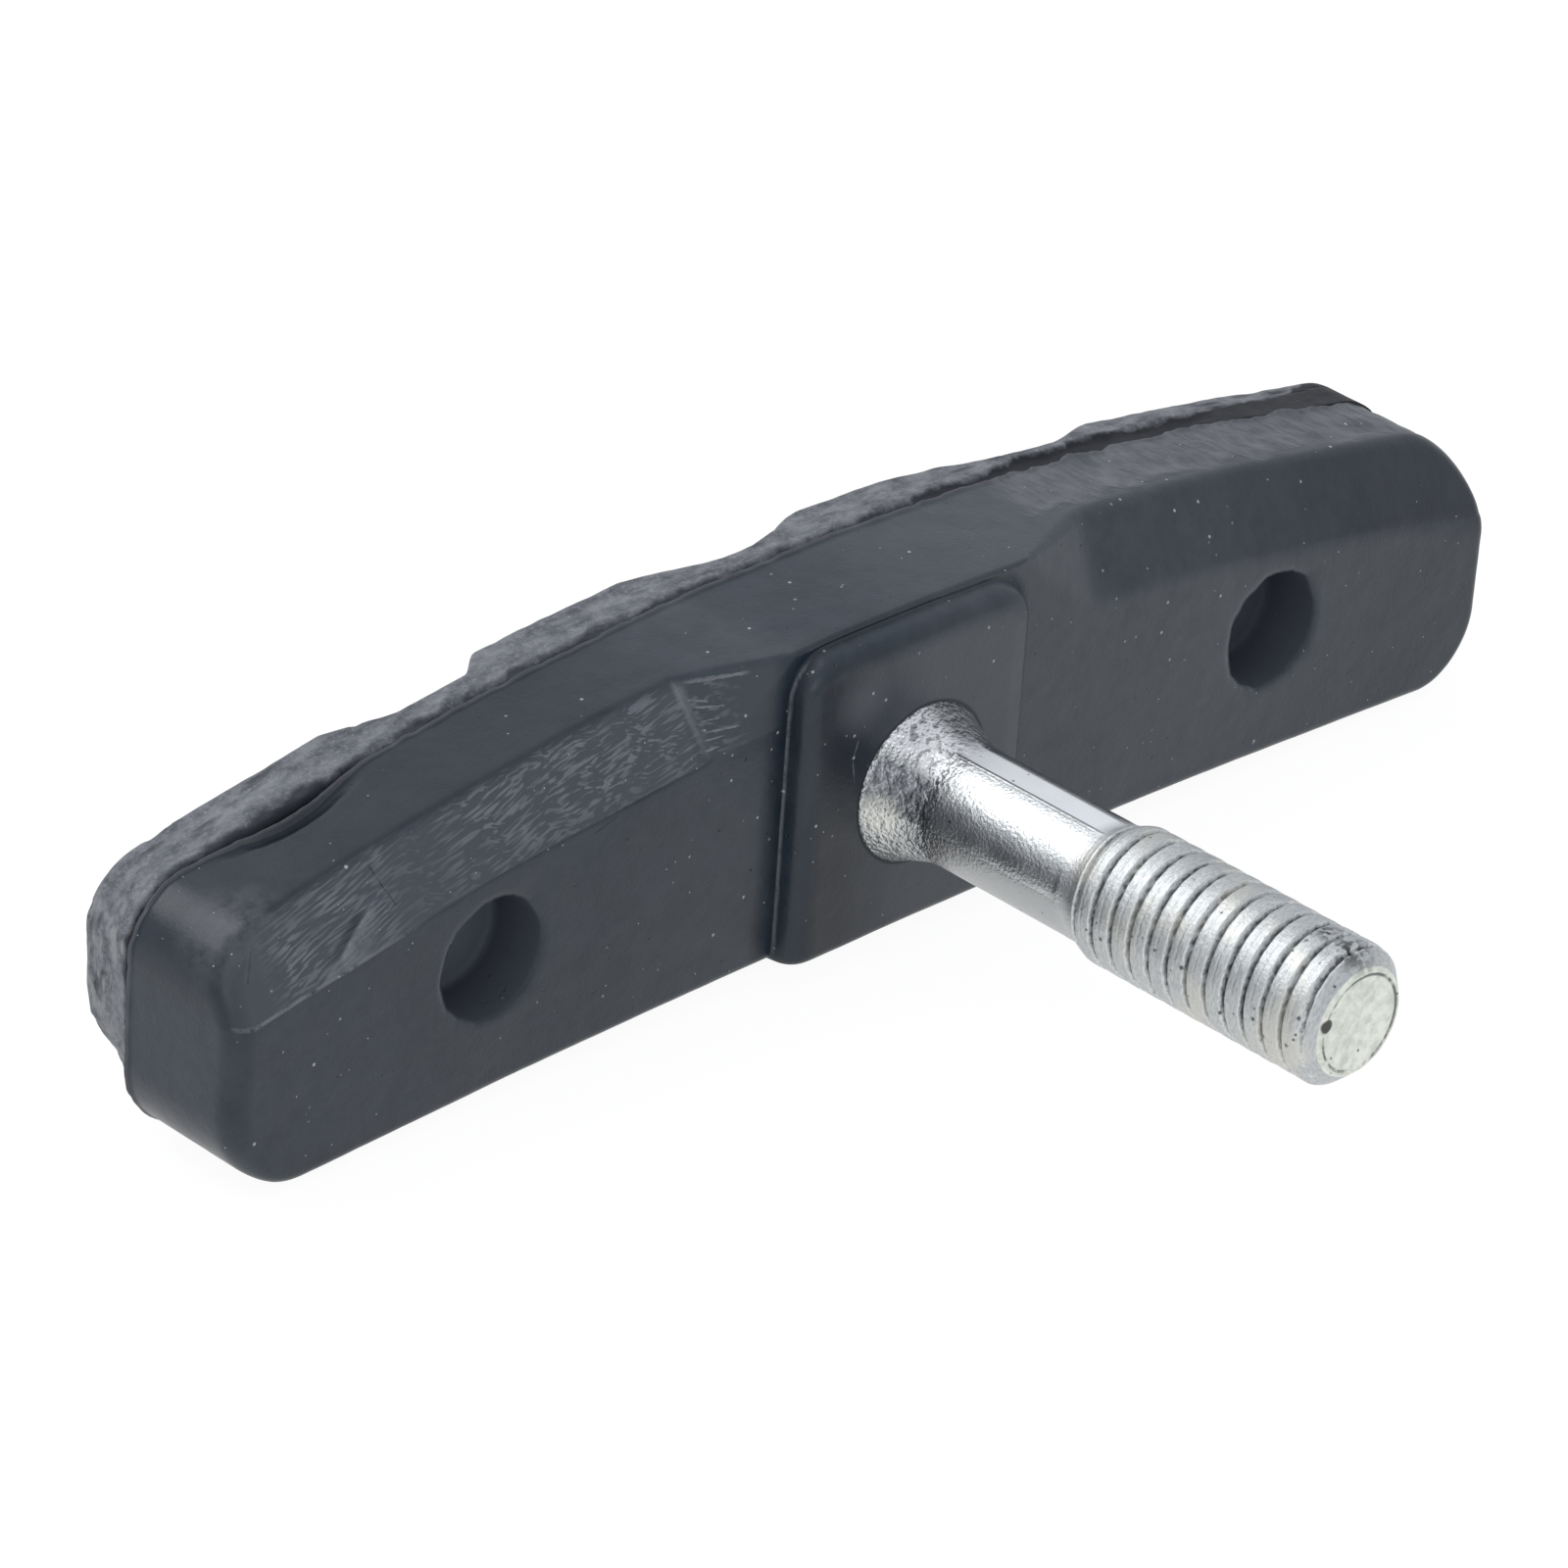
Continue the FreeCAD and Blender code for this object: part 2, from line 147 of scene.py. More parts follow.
def arc(centre_x, centre_z, radius, start, end, count=60):
    """Points on a circular arc between two angles, in degrees."""
    angle = np.radians(np.linspace(start, end, count))
    return np.column_stack([centre_x + radius * np.cos(angle), centre_z + radius * np.sin(angle)])


def spread(count, low, high, spots):
    """count + 1 places from low to high, packed closer round each spot (centre, width, gain):
    the places divide the running total of 1 plus a bell curve at each spot evenly."""
    line = np.linspace(low, high, 4001)
    weight = 1 + sum(gain * np.exp(-(((line - centre) / width) ** 2)) for centre, width, gain in spots)
    total = np.concatenate([[0], np.cumsum((weight[1:] + weight[:-1]) / 2)])
    return np.interp(np.linspace(0, total[-1], count + 1), total, line)


def resample(points, fractions):
    """Points at given fractions of a polyline's length, and the outward normals there, which are
    the polyline's directions turned a quarter turn clockwise."""
    steps = np.diff(points, axis=0)
    lengths = np.linalg.norm(steps, axis=1)
    run = np.concatenate([[0], np.cumsum(lengths)])
    middle = (run[1:] + run[:-1]) / 2
    outward = np.column_stack([steps[:, 1], -steps[:, 0]]) / lengths[:, None]
    at = fractions * run[-1]
    place = np.column_stack([np.interp(at, run, points[:, k]) for k in range(2)])
    normal = np.column_stack([np.interp(at, middle, outward[:, k]) for k in range(2)])
    return place, normal / np.linalg.norm(normal, axis=1)[:, None]


UP = spread(ROWS, 0, 1, [(0.988, 0.012, 5.0)])


def corner(end, radius, above):
    """Centre of the corner's circle that touches the upright end and the arch above or the
    underside below, with its bearing from the middle of that long circle."""
    x = end - np.sign(end) * radius
    if above:
        middle = ARCH_TOP - ARCH_RADIUS
        z = middle + np.sqrt((ARCH_RADIUS - radius) ** 2 - x**2)
    else:
        middle = -UNDERSIDE_DROP - UNDERSIDE_RADIUS
        z = middle + np.sqrt((UNDERSIDE_RADIUS + radius) ** 2 - x**2)
    return x, z, np.degrees(np.arctan2(z - middle, x))


def outline():
    """The outline as four sides that meet in the middle of each rounded corner: underside left to
    right, right end upwards, arched top right to left, left end downwards.
    Returns the loop's points and outward normals, COLUMNS and ROWS steps to a side."""
    ends = (LEFT_END, RIGHT_END)
    (left_x, left_z, left_top), (right_x, right_z, right_top) = [
        corner(end, radius, True) for end, radius in zip(ends, TOP_CORNERS)]
    (west_x, west_z, west_low), (east_x, east_z, east_low) = [
        corner(end, radius, False) for end, radius in zip(ends, LOW_CORNERS)]
    under = np.concatenate([
        arc(west_x, west_z, LOW_CORNERS[0], 225, west_low + 180),
        arc(0, -UNDERSIDE_DROP - UNDERSIDE_RADIUS, UNDERSIDE_RADIUS, west_low, east_low, 400)[1:-1],
        arc(east_x, east_z, LOW_CORNERS[1], east_low + 180, 315),
    ])
    right = np.concatenate([
        arc(east_x, east_z, LOW_CORNERS[1], 315, 360),
        arc(right_x, right_z, TOP_CORNERS[1], 0, 45),
    ])
    top = np.concatenate([
        arc(right_x, right_z, TOP_CORNERS[1], 45, right_top),
        arc(0, ARCH_TOP - ARCH_RADIUS, ARCH_RADIUS, right_top, left_top, 400)[1:-1],
        arc(left_x, left_z, TOP_CORNERS[0], left_top, 135),
    ])
    left = np.concatenate([
        arc(left_x, left_z, TOP_CORNERS[0], 135, 180),
        arc(west_x, west_z, LOW_CORNERS[0], 180, 225),
    ])
    spots = [(-HOLE_X, 3.0, 0.4), (HOLE_X, 3.0, 0.4), (-6.5, 0.5, 3.0), (6.1, 0.5, 3.0), (-11, 1, 0.5)]
    x = spread(COLUMNS, -34.2, 34.2, spots)
    along = (x - x[0]) / (x[-1] - x[0])
    sides = [resample(under, along), resample(right, UP),
             resample(top, (1 - along)[::-1]), resample(left, (1 - UP)[::-1])]
    points = np.concatenate([side[0][:-1] for side in sides])
    normals = np.concatenate([side[1][:-1] for side in sides])
    return points, normals


LOOP, NORMAL = outline()
LOOP_X = LOOP[:, 0]
SIDE_X, SIDE_Z = NORMAL.T
AT_TOP = smooth(SIDE_Z / 0.3)
AT_END = smooth((np.abs(SIDE_X) - 0.25) / 0.6)


def loop_noise(cell, seed):
    """Noise along the outline, read from the lumpy noise at the loop's points."""
    place = np.column_stack([LOOP[:, 0], np.zeros(len(LOOP)), LOOP[:, 1]])
    return rough(place, cell, seed)


# Grid indices of a face's rim, in the order of the outline's loop
RIM = np.concatenate([GRID[:-1, 0], GRID[-1, :-1], GRID[:0:-1, -1], GRID[0, :0:-1]])


def fill(rim):
    """A face's grid, filled in from its rim: each inner point is the sum of its places between
    the two facing sides both ways, less its place between the four corners."""
    low = rim[: COLUMNS + 1]
    right = rim[COLUMNS : COLUMNS + ROWS + 1]
    high = rim[COLUMNS + ROWS : 2 * COLUMNS + ROWS + 1][::-1]
    left = np.concatenate([rim[2 * COLUMNS + ROWS :], rim[:1]])[::-1]
    u = ((low[:, 0] - low[0, 0]) / (low[-1, 0] - low[0, 0]))[:, None, None]
    v = UP[None, :, None]
    across = (1 - v) * low[:, None] + v * high[:, None]
    along = (1 - u) * left[None] + u * right[None]
    corners = (1 - u) * ((1 - v) * low[0] + v * high[0]) + u * ((1 - v) * low[-1] + v * high[-1])
    return across + along - corners


def face_quads(towards_back):
    """Quads of a face's grid, wound to face -Y or +Y."""
    around = [GRID[:-1, :-1], GRID[1:, :-1], GRID[1:, 1:], GRID[:-1, 1:]]
    if not towards_back:
        around = around[::-1]
    return np.stack(around, -1).reshape(-1, 4)


def ring_indices(count):
    """Indices of a wall's points, one row for each of its rings, numbered after the face's grid."""
    return FACE_POINTS + np.arange(count * len(LOOP)).reshape(count, -1)


def wall_quads(rings):
    """Quads between neighbouring rings of indices, each ring a row, wound to face away from the
    pad's middle where the rings run towards +Y."""
    start, following = rings[:-1], rings[1:]
    around = [start, following, np.roll(following, -1, 1), np.roll(start, -1, 1)]
    return np.stack(around, -1).reshape(-1, 4)


def skin(name, points, quads, caps):
    """A smooth-shaded mesh object from points in millimetres, quads and other closing faces."""
    mesh = bpy.data.meshes.new(name)
    faces = quads.tolist() + [list(cap) for cap in caps]
    mesh.from_pydata((points * MM).tolist(), [], faces)
    mesh.polygons.foreach_set("use_smooth", np.ones(len(mesh.polygons), bool))
    mesh.update()
    piece = bpy.data.objects.new(name, mesh)
    bpy.context.scene.collection.objects.link(piece)
    return piece


def paint(piece, name, values):
    """Stores one number for each point of a piece, for its material to read."""
    attribute = piece.data.attributes.new(name, "FLOAT", "POINT")
    attribute.data.foreach_set("value", np.asarray(values, np.float32))


def box_distance(x, z, centre, half, rounding):
    """Distance outside a rectangle with rounded corners, negative inside it: the distance from
    a rectangle that is smaller by the rounding on each side, less the rounding."""
    dx = np.abs(x - centre[0]) - half[0] + rounding
    dz = np.abs(z - centre[1]) - half[1] + rounding
    outside = np.hypot(np.maximum(dx, 0), np.maximum(dz, 0))
    return outside + np.minimum(np.maximum(dx, dz), 0) - rounding


def soft_least(a, b, radius):
    """The lesser of two heights, with the crease between them rounded over radius."""
    t = np.clip(0.5 + (b - a) / (2 * radius), 0, 1)
    return a * t + b * (1 - t) - radius * t * (1 - t)


def soft_most(a, b, radius):
    """The greater of two heights, with the crease between them rounded over radius."""
    return -soft_least(-a, -b, radius)


def wing_lines(x, z):
    """Three distances that shape the back at (x, z): how far z is above the foot of the wings'
    bevels, how far the ramp that ends a bevel is from it in depth, and the distance outside the
    boss, whose box is bent with the arch."""
    reach = np.abs(x)
    rise = z - arch(x) + BEVEL_HEIGHT - 0.05 * np.sin(x * 0.5)
    right_depth = RIGHT_BEVEL_DEPTH + 0.22 * smooth((reach - 24) / 9)
    bevel = rise * np.where(x < 0, LEFT_BEVEL_DEPTH, right_depth) / BEVEL_HEIGHT
    outwards, upwards = RAMP_SLOPE
    left = (outwards * (reach - 10.8) + upwards * (z - 3.9)) * 0.6
    right = (outwards * (reach - 10.6) + upwards * (z - 4.1)) * 0.7
    ramp = np.where(x < 0, left, right)
    seat = box_distance(x, z + ARCH_TOP - arch(x), BOSS_CENTRE, BOSS_HALF, BOSS_CORNER)
    return rise, bevel, ramp, seat


def wing_cut(x, z):
    """How deep the bevels and ramps cut the back at (x, z)."""
    _, bevel, ramp, _ = wing_lines(x, z)
    return np.maximum(np.minimum(bevel, ramp), 0)


def fold_distance(x, z):
    """Distance to the right of the short slanting cut that scuffs the left bevel."""
    return ((x + 29.82) - (z - 1.85) * 1.44) / 1.753


def back_height(x, z):
    """Y of the core's back at (x, z). The wings' bevels fall away from BACK_FACE towards the
    arch, two ramps end them beside the upright middle, and the boss stands out round the stud."""
    _, bevel, ramp, seat = wing_lines(x, z)
    blur = np.where(x < 0, 0.05, 0.28 + 0.3 * smooth((x - 28) / 5))
    cut = soft_least(bevel, ramp, blur)
    fold = fold_distance(x, z)
    folded = smooth(1 - fold / 1.3) * smooth(fold / 0.14 + 0.5) * band(z, 1.9, 3.1, 0.6)
    cut = cut - 0.2 * folded
    cut = soft_most(cut, 0 * cut, blur)
    broad = np.where(seat < 0, 1 + 0.35 * smooth((x + 1) / 5), 1)
    stations = [-1.15, -0.9, -0.65, -0.42, -0.25, -0.12, -0.05, 0.01, 0.05]
    raised = [BACK_FACE - BOSS_FACE, 1.19, 1.15, 1.06, 0.93, 0.74, 0.5, 0.14, 0.0]
    wall = np.interp(seat / broad, stations, raised)
    crease = 0.05 * np.exp(-((seat - 0.13) / 0.07) ** 2) * smooth((z - 6) / 0.5) * smooth((3 - x) / 3)
    return BACK_FACE + cut * smooth(seat / 0.3) - wall + crease


def sink_holes(flat):
    """Turns a square block of the back's grid round each pin hole into rings: outer rings blend
    from the grid to the round rim, the next go down the wall, and the inner ones lie on its floor.
    Returns the moved grid, the share of the hole's depth at each point and a mask of the holes."""
    depth = np.zeros(flat.shape[:2])
    inside = np.zeros(flat.shape[:2])
    for side in (-1, 1):
        centre = np.array([side * HOLE_X, HOLE_Z])
        gap = np.linalg.norm(flat - centre, axis=-1)
        ic, jc = np.unravel_index(np.argmin(gap), gap.shape)
        here = np.s_[ic - HOLE_RINGS : ic + HOLE_RINGS + 1, jc - HOLE_RINGS : jc + HOLE_RINGS + 1]
        di, dj = np.meshgrid(*[np.arange(-HOLE_RINGS, HOLE_RINGS + 1)] * 2, indexing="ij")
        ring = np.maximum(np.abs(di), np.abs(dj)).astype(float)
        angle = np.arctan2(dj, di)
        around = np.stack([np.cos(angle), 0 * angle, np.sin(angle)], -1)
        ragged = 0.09 * rough(around * 2 + side, 1.1, 11) + 0.05 * rough(around * 7, 1.0, 12)
        rim = HOLE_RADIUS + ragged
        outer = rim + np.maximum(ring - RIM_RING, 0) * 0.158
        wall_radius = HOLE_RADIUS + ragged * smooth((ring - FLOOR_RING) / (RIM_RING - FLOOR_RING))
        floor_rings = [0, FLOOR_RING - 1, FLOOR_RING, RIM_RING]
        inner = wall_radius * np.interp(ring, floor_rings, [0, 0.9, 0.93, 1.0])
        radius = np.where(ring > RIM_RING, outer, inner)
        round_place = centre + radius[..., None] * around[..., ::2]
        share = smooth((ring - RIM_RING) / (HOLE_RINGS - RIM_RING))[..., None]
        flat[here] = (1 - share) * round_place + share * flat[here]
        wall_rings = [FLOOR_RING - 1, FLOOR_RING, RIM_RING - 2, RIM_RING, RIM_RING + 1.5]
        depth[here] = np.interp(ring, wall_rings, [1, 0.96, 0.16, 0.03, 0])
        inside[here] = smooth((RIM_RING + 0.5 - ring) / 1.5)
    return flat, depth, inside


def parting_line():
    """The moulding flash round the outline, on the parting line: its Y, how far its ragged fin
    stands out, how deep the crevice behind it is, how much it curls over on the left wing, and
    how much it is torn on the right one."""
    curl = AT_TOP * np.sin(np.pi * np.clip((LOOP_X + 32.3) / 9.4, 0, 1)) ** 2
    torn = AT_TOP * band(LOOP_X, 11.0, 33.5, 2.0)
    parting = PARTING - 0.08 + 0.05 * loop_noise(1.6, 21) + 0.03 * loop_noise(0.5, 22)
    parting = parting - 0.72 * curl + torn * (0.04 + 0.24 * loop_noise(1.3, 23))
    fin = np.clip(0.08 + 0.06 * loop_noise(0.7, 24) + 0.16 * curl, 0.02, 0.26)
    fin = fin * (1 - 0.6 * smooth(SIDE_X / 0.5))
    crevice = 0.22 + 0.05 * loop_noise(0.8, 25) + 0.13 * curl + 0.16 * torn
    return parting, fin, crevice, curl, torn


def core():
    """The core's closed skin. Its back is a height over the outline, its edge is a round that
    starts at the back's own slope, its wall is the outline carried along Y, and it ends in the
    parting flash: a thin ragged fin with a crevice behind it, curled over on the left wing."""
    on_wing = smooth((np.abs(LOOP_X) - 7.5) / 2.5)
    on_left = smooth(-SIDE_X / 0.5)
    edge = 0.42 + AT_TOP * (0.18 * on_wing - 0.22) + AT_END * (0.1 + 0.5 * on_left)
    rim = LOOP - NORMAL * edge[:, None]
    inner = rim - NORMAL * 0.2
    slope = (wing_cut(*rim.T) - wing_cut(*inner.T)) / 0.2
    lean = np.arctan(np.clip(slope, 0, 1))
    flat, depth, inside = sink_holes(fill(rim))
    x, z = flat[..., 0], flat[..., 1]
    back = back_height(x, z)
    back = back + (HOLE_FLOOR - back) * depth
    place = np.stack([x, back, z], -1)
    wave = 0.035 * lumps(place, 5.0, 3) + 0.012 * rough(place, 1.4, 4)
    place[..., 1] += wave * (1 - inside)
    start = place.reshape(-1, 3)[RIM, 1]

    parting, fin, crevice, curl, torn = parting_line()
    turn = lean + (np.pi / 2 - lean) * np.linspace(0, 1, 9)[1:, None]
    radius = edge / (1 - np.sin(lean))
    inset = radius * (1 - np.sin(turn))
    height = start + radius * (np.cos(lean) - np.cos(turn))
    share = np.linspace(0, 1, 19)[1:-1, None] ** 0.9
    wall_height = height[-1] + (parting - 0.1 - height[-1]) * share
    fin_steps = np.array([
        [-0.10, 0.00], [-0.05, 0.35], [-0.02, 0.8], [0.02, 1.0], [0.06, 0.85], [0.09, 0.3],
    ])
    fin_height = parting + fin_steps[:, :1]
    fin_inset = -fin * fin_steps[:, 1:]
    crevice_height = np.stack([parting + 0.12, parting + 0.16, parting * 0 + PARTING + 0.28])
    crevice_inset = np.stack([crevice * 0.4, crevice, crevice + 0.3])
    heights = np.concatenate([height, wall_height, fin_height, crevice_height])
    insets = np.concatenate([inset, 0 * wall_height, fin_inset, crevice_inset])
    ring = LOOP[None] - NORMAL[None] * insets[..., None]
    wall = np.stack([ring[..., 0], heights, ring[..., 1]], -1)
    push = np.minimum(0.03 * lumps(wall, 4.0, 5) + 0.015 * rough(wall, 1.2, 6), 0)
    push = push * smooth((wall[..., 1] - start) / 1.0)
    seen = wall * np.array([1, 0, 1])
    tear_line = 3.9 + 0.5 * lumps(seen, 1.5, 8) + 0.3 * lumps(seen, 0.6, 9)
    near_torn = torn * smooth((wall[..., 1] - tear_line) / 0.5)
    push += 0.09 * near_torn * (rough(wall * np.array([0.6, 1, 1]), 1.4, 7) - 0.6)
    push -= 0.22 * curl * band(wall[..., 1], parting - 0.42, parting - 0.16, 0.3)
    wall[..., 0] += push * SIDE_X
    wall[..., 2] = np.maximum(wall[..., 2] + push * SIDE_Z, FLOOR_LEVEL + 0.02)

    rings = np.concatenate([RIM[None], ring_indices(len(wall))])
    quads = np.concatenate([face_quads(True), wall_quads(rings)])
    grid = place.reshape(-1, 3)
    piece = skin("rubber_core", np.concatenate([grid, wall.reshape(-1, 3)]), quads, [rings[-1]])

    rise, bevel, ramp, seat = wing_lines(x, z)
    fold = fold_distance(x, z)
    scuff = smooth(1 - fold / (0.15 + 1.5 * np.clip((3.2 - z) / 1.5, 0, 1))) * band(z, 1.5, 3.15, 0.3)
    strip = band(wall[..., 1], parting - 0.14 - 0.5 * curl, parting - 0.12, 0.1)
    shade = strip * AT_TOP * smooth((8 - LOOP_X) / 6) * (0.5 + 0.5 * curl)
    off_back = np.minimum(np.arange(1, len(wall) + 1) / 5, 1)[:, None]
    far_off = -3.0

    def paint_core(name, on_back, on_wall):
        """Paints the back's grid and the rings of the wall."""
        on_back = np.broadcast_to(on_back, x.shape)
        on_wall = np.broadcast_to(on_wall, heights.shape)
        paint(piece, name, np.concatenate([on_back.ravel(), on_wall.ravel()]))

    for name, line in (("rise", rise), ("crest", ramp - bevel), ("seat", seat)):
        paint_core(name, line, line.ravel()[RIM])
    paint_core("hole", inside, 0.0)
    paint_core("floor", smooth((depth - 0.93) / 0.05), 0.0)
    paint_core("crevice", far_off, heights - parting)
    paint_core("fold", fold, far_off)
    paint_core("scuff", scuff, 0.0)
    paint_core("torn", 0.0, near_torn)
    paint_core("shade", 0.0, shade)
    paint_core("back", 1.0, 1 - off_back)
    return piece


# The grooves across the friction face: where the gentle run starts, the two ends of the floor,
# where the steep run ends, and the depth
GROOVES = (
    (-23.6, -20.4, -16.9, -15.6, 1.0),
    (-7.9, -3.3, -1.6, 1.9, 1.1),
    (6.7, 13.3, 15.9, 18.7, 0.82),
)


def groove_depth(x):
    """How deep the grooves across the friction face are at x: each has a gentle run towards its
    floor on one side and a steep run on the other."""
    depth = np.zeros_like(x)
    for outer, floor_start, floor_end, end, deep in GROOVES:
        down = np.clip((x - outer) / (floor_start - outer), 0, 1)
        up = np.clip((end - x) / (end - floor_end), 0, 1)
        depth = depth + deep * (0.6 * down + 0.4 * smooth(down)) * (0.6 * up + 0.4 * smooth(up))
    return depth


def dark_reach(x):
    """Y that the band of painted shade beside the parting line reaches on the friction layer's top."""
    stations = [-36, -31, -28, -25, -20, 0, 8, 13, 20, 24, 27, 30.5, 33]
    return np.interp(x, stations, [7.5, 7.55, 7.7, 7.6, 7.7, 7.75, 7.95, 8.4, 8.6, 8.75, 8.95, 9.0, 9.9])


def friction_layer():
    """The friction layer's closed skin: the outline, slanted at its lower left corner, carried
    along Y from the crevice to the friction face, with a rough, nicked wall and a low neck
    beside the parting line, which its material paints dark as shade."""
    low_left = smooth(-SIDE_X / 0.5)
    slant = np.interp(-LOOP[:, 1], [1.0, 2.4, 3.5, 5.0, 6.1, 7.2], [0.0, 0.25, 0.85, 1.5, 1.15, 0.4])
    stations = [-34, -30, -7, 3, 18, 22, 30, 34]
    on_top = np.interp(LOOP_X, stations, [-0.1, -0.14, -0.08, 0, 0.03, 0.1, 0.08, -0.1])
    slack = AT_TOP * on_top + (1 - AT_TOP) * 0.05
    side = low_left * (slant - 0.12)
    face = FRICTION_FACE - groove_depth(LOOP_X)
    edge = 0.22 + 0.08 * loop_noise(1.2, 32)
    low = PARTING + 0.05 + 0.05 * loop_noise(0.8, 33)
    share = np.linspace(0, 1, 19)[:, None]
    wall_height = low + 0.1 + (face - edge - low - 0.1) * share
    wall_inset = slack + side * (0.35 + 0.65 * share)
    turn = np.radians(np.linspace(0, 90, 6))[1:, None]
    turn_height = face - edge * (1 - np.sin(turn))
    turn_inset = slack + side + edge * (1 - np.cos(turn))
    under_height = np.stack([low + 0.08, low, low + 0.04])
    under_inset = np.stack([slack + 0.85, slack + 0.6, slack + 0.36]) + side * 0.35
    heights = np.concatenate([under_height, wall_height, turn_height])
    insets = np.concatenate([under_inset, wall_inset, turn_inset])
    past = heights - dark_reach(LOOP_X) - 0.16 * loop_noise(1.1, 38)
    neck = AT_TOP * 0.24 * (1 - smooth((past + 0.2) / 0.3)) * (1 - smooth((LOOP_X - 22) / 5))
    insets[3:] += neck[3:] * smooth((heights[3:] - low) / 0.1)
    ring = LOOP[None] - NORMAL[None] * insets[..., None]
    wall = np.stack([ring[..., 0], heights, ring[..., 1]], -1)
    push = 0.018 * rough(wall, 1.8, 34, 4)
    slits = np.minimum(rough(wall * np.array([0.5, 2.4, 1.0]), 1.0, 35) + 0.62, 0)
    push += (0.08 + 0.30 * smooth((wall[..., 1] - face + 1.0) / 0.6)) * slits
    at_side = smooth((np.abs(SIDE_X) - 0.6) / 0.3)
    push += 0.03 * at_side * rough(wall * np.array([1.0, 2.5, 0.3]), 0.8, 36)
    push = np.clip(push, -0.35, 0.04)
    push = np.where(np.abs(wall[..., 0]) > 34, np.minimum(push, 0), push)
    fade = smooth((wall[..., 1] - low) / 0.2)
    wall[..., 0] += push * SIDE_X * fade
    wall[..., 2] += push * SIDE_Z * fade
    last = wall[-1]
    flat = fill(last[:, ::2])
    x, z = flat[..., 0], flat[..., 1]
    place = np.stack([x, FRICTION_FACE - groove_depth(x), z], -1)
    place[..., 1] += np.minimum(0.03 * rough(place, 1.5, 37), 0)
    grid = place.reshape(-1, 3)
    grid[RIM] = last
    rings = np.concatenate([ring_indices(len(wall) - 1), RIM[None]])
    points = np.concatenate([grid, wall[:-1].reshape(-1, 3)])
    quads = np.concatenate([face_quads(False), wall_quads(rings)])
    piece = skin("friction_layer", points, quads, [rings[0][::-1]])
    dark = np.where(SIDE_Z > -0.2, past, 1.0)
    paint(piece, "past", np.concatenate([np.full(FACE_POINTS, 2.0), dark[:-1].ravel()]))
    return piece


def turned(profile, around, shaped):
    """A closed skin turned about the Y axis: each profile row (y, radius) becomes a ring of
    around points with the radius that shaped gives, and the first and last rows close to a point."""
    angle = np.linspace(0, 2 * np.pi, around, endpoint=False)
    y = np.repeat(profile[1:-1, :1], around, 1)
    radius = np.repeat(profile[1:-1, 1:], around, 1)
    y, radius = shaped(y, radius, angle[None])
    x, z = radius * np.cos(angle), radius * np.sin(angle)
    rings = np.arange(y.size).reshape(y.shape)
    points = np.concatenate([
        np.stack([x, y, z], -1).reshape(-1, 3),
        [[0, profile[0, 0], 0], [0, profile[-1, 0], 0]],
    ])
    start, following = rings[:-1], rings[1:]
    quads = np.stack([start, np.roll(start, -1, 1), np.roll(following, -1, 1), following], -1)
    ends = []
    for ring, pole in ((rings[0], y.size), (rings[-1], y.size + 1)):
        beside = np.roll(ring, -1)
        pole = np.full_like(ring, pole)
        order = [beside, ring, pole] if pole[0] == y.size else [ring, beside, pole]
        ends += np.stack(order, -1).tolist()
    return points, quads.reshape(-1, 4), ends


def thread_turn(y, angle):
    """Where a point is in its own turn of the right-hand thread, from 0 to 1, crest at 0.5."""
    return np.mod(-(y - THREAD_START) / PITCH - angle / (2 * np.pi), 1.0)


def thread_radius(y, angle):
    """Radius of the rolled thread: along a right-hand helix each turn rises from a rounded root
    to a broad crest with the shallow seam that rolling leaves. Returns it with the share of the
    thread in the stud's radius, which grows out of the neck and fades at the tip."""
    turn = thread_turn(y, angle)
    off_crest = np.abs(turn - 0.5) * 2
    height = np.clip((1 - off_crest) / 0.3, 0, 1) ** 0.7 - 0.07 * off_crest
    seam = np.exp(-(((turn - 0.46) / 0.05) ** 2))
    grow = smooth((THREAD_START + 0.7 - y) / 1.6)
    fade = smooth((y - STUD_TIP - 0.1) / 0.25)
    crest = CREST_RADIUS - 0.02 * seam - (1 - grow) * 0.33
    return ROOT_RADIUS + (crest - ROOT_RADIUS) * height, grow * fade


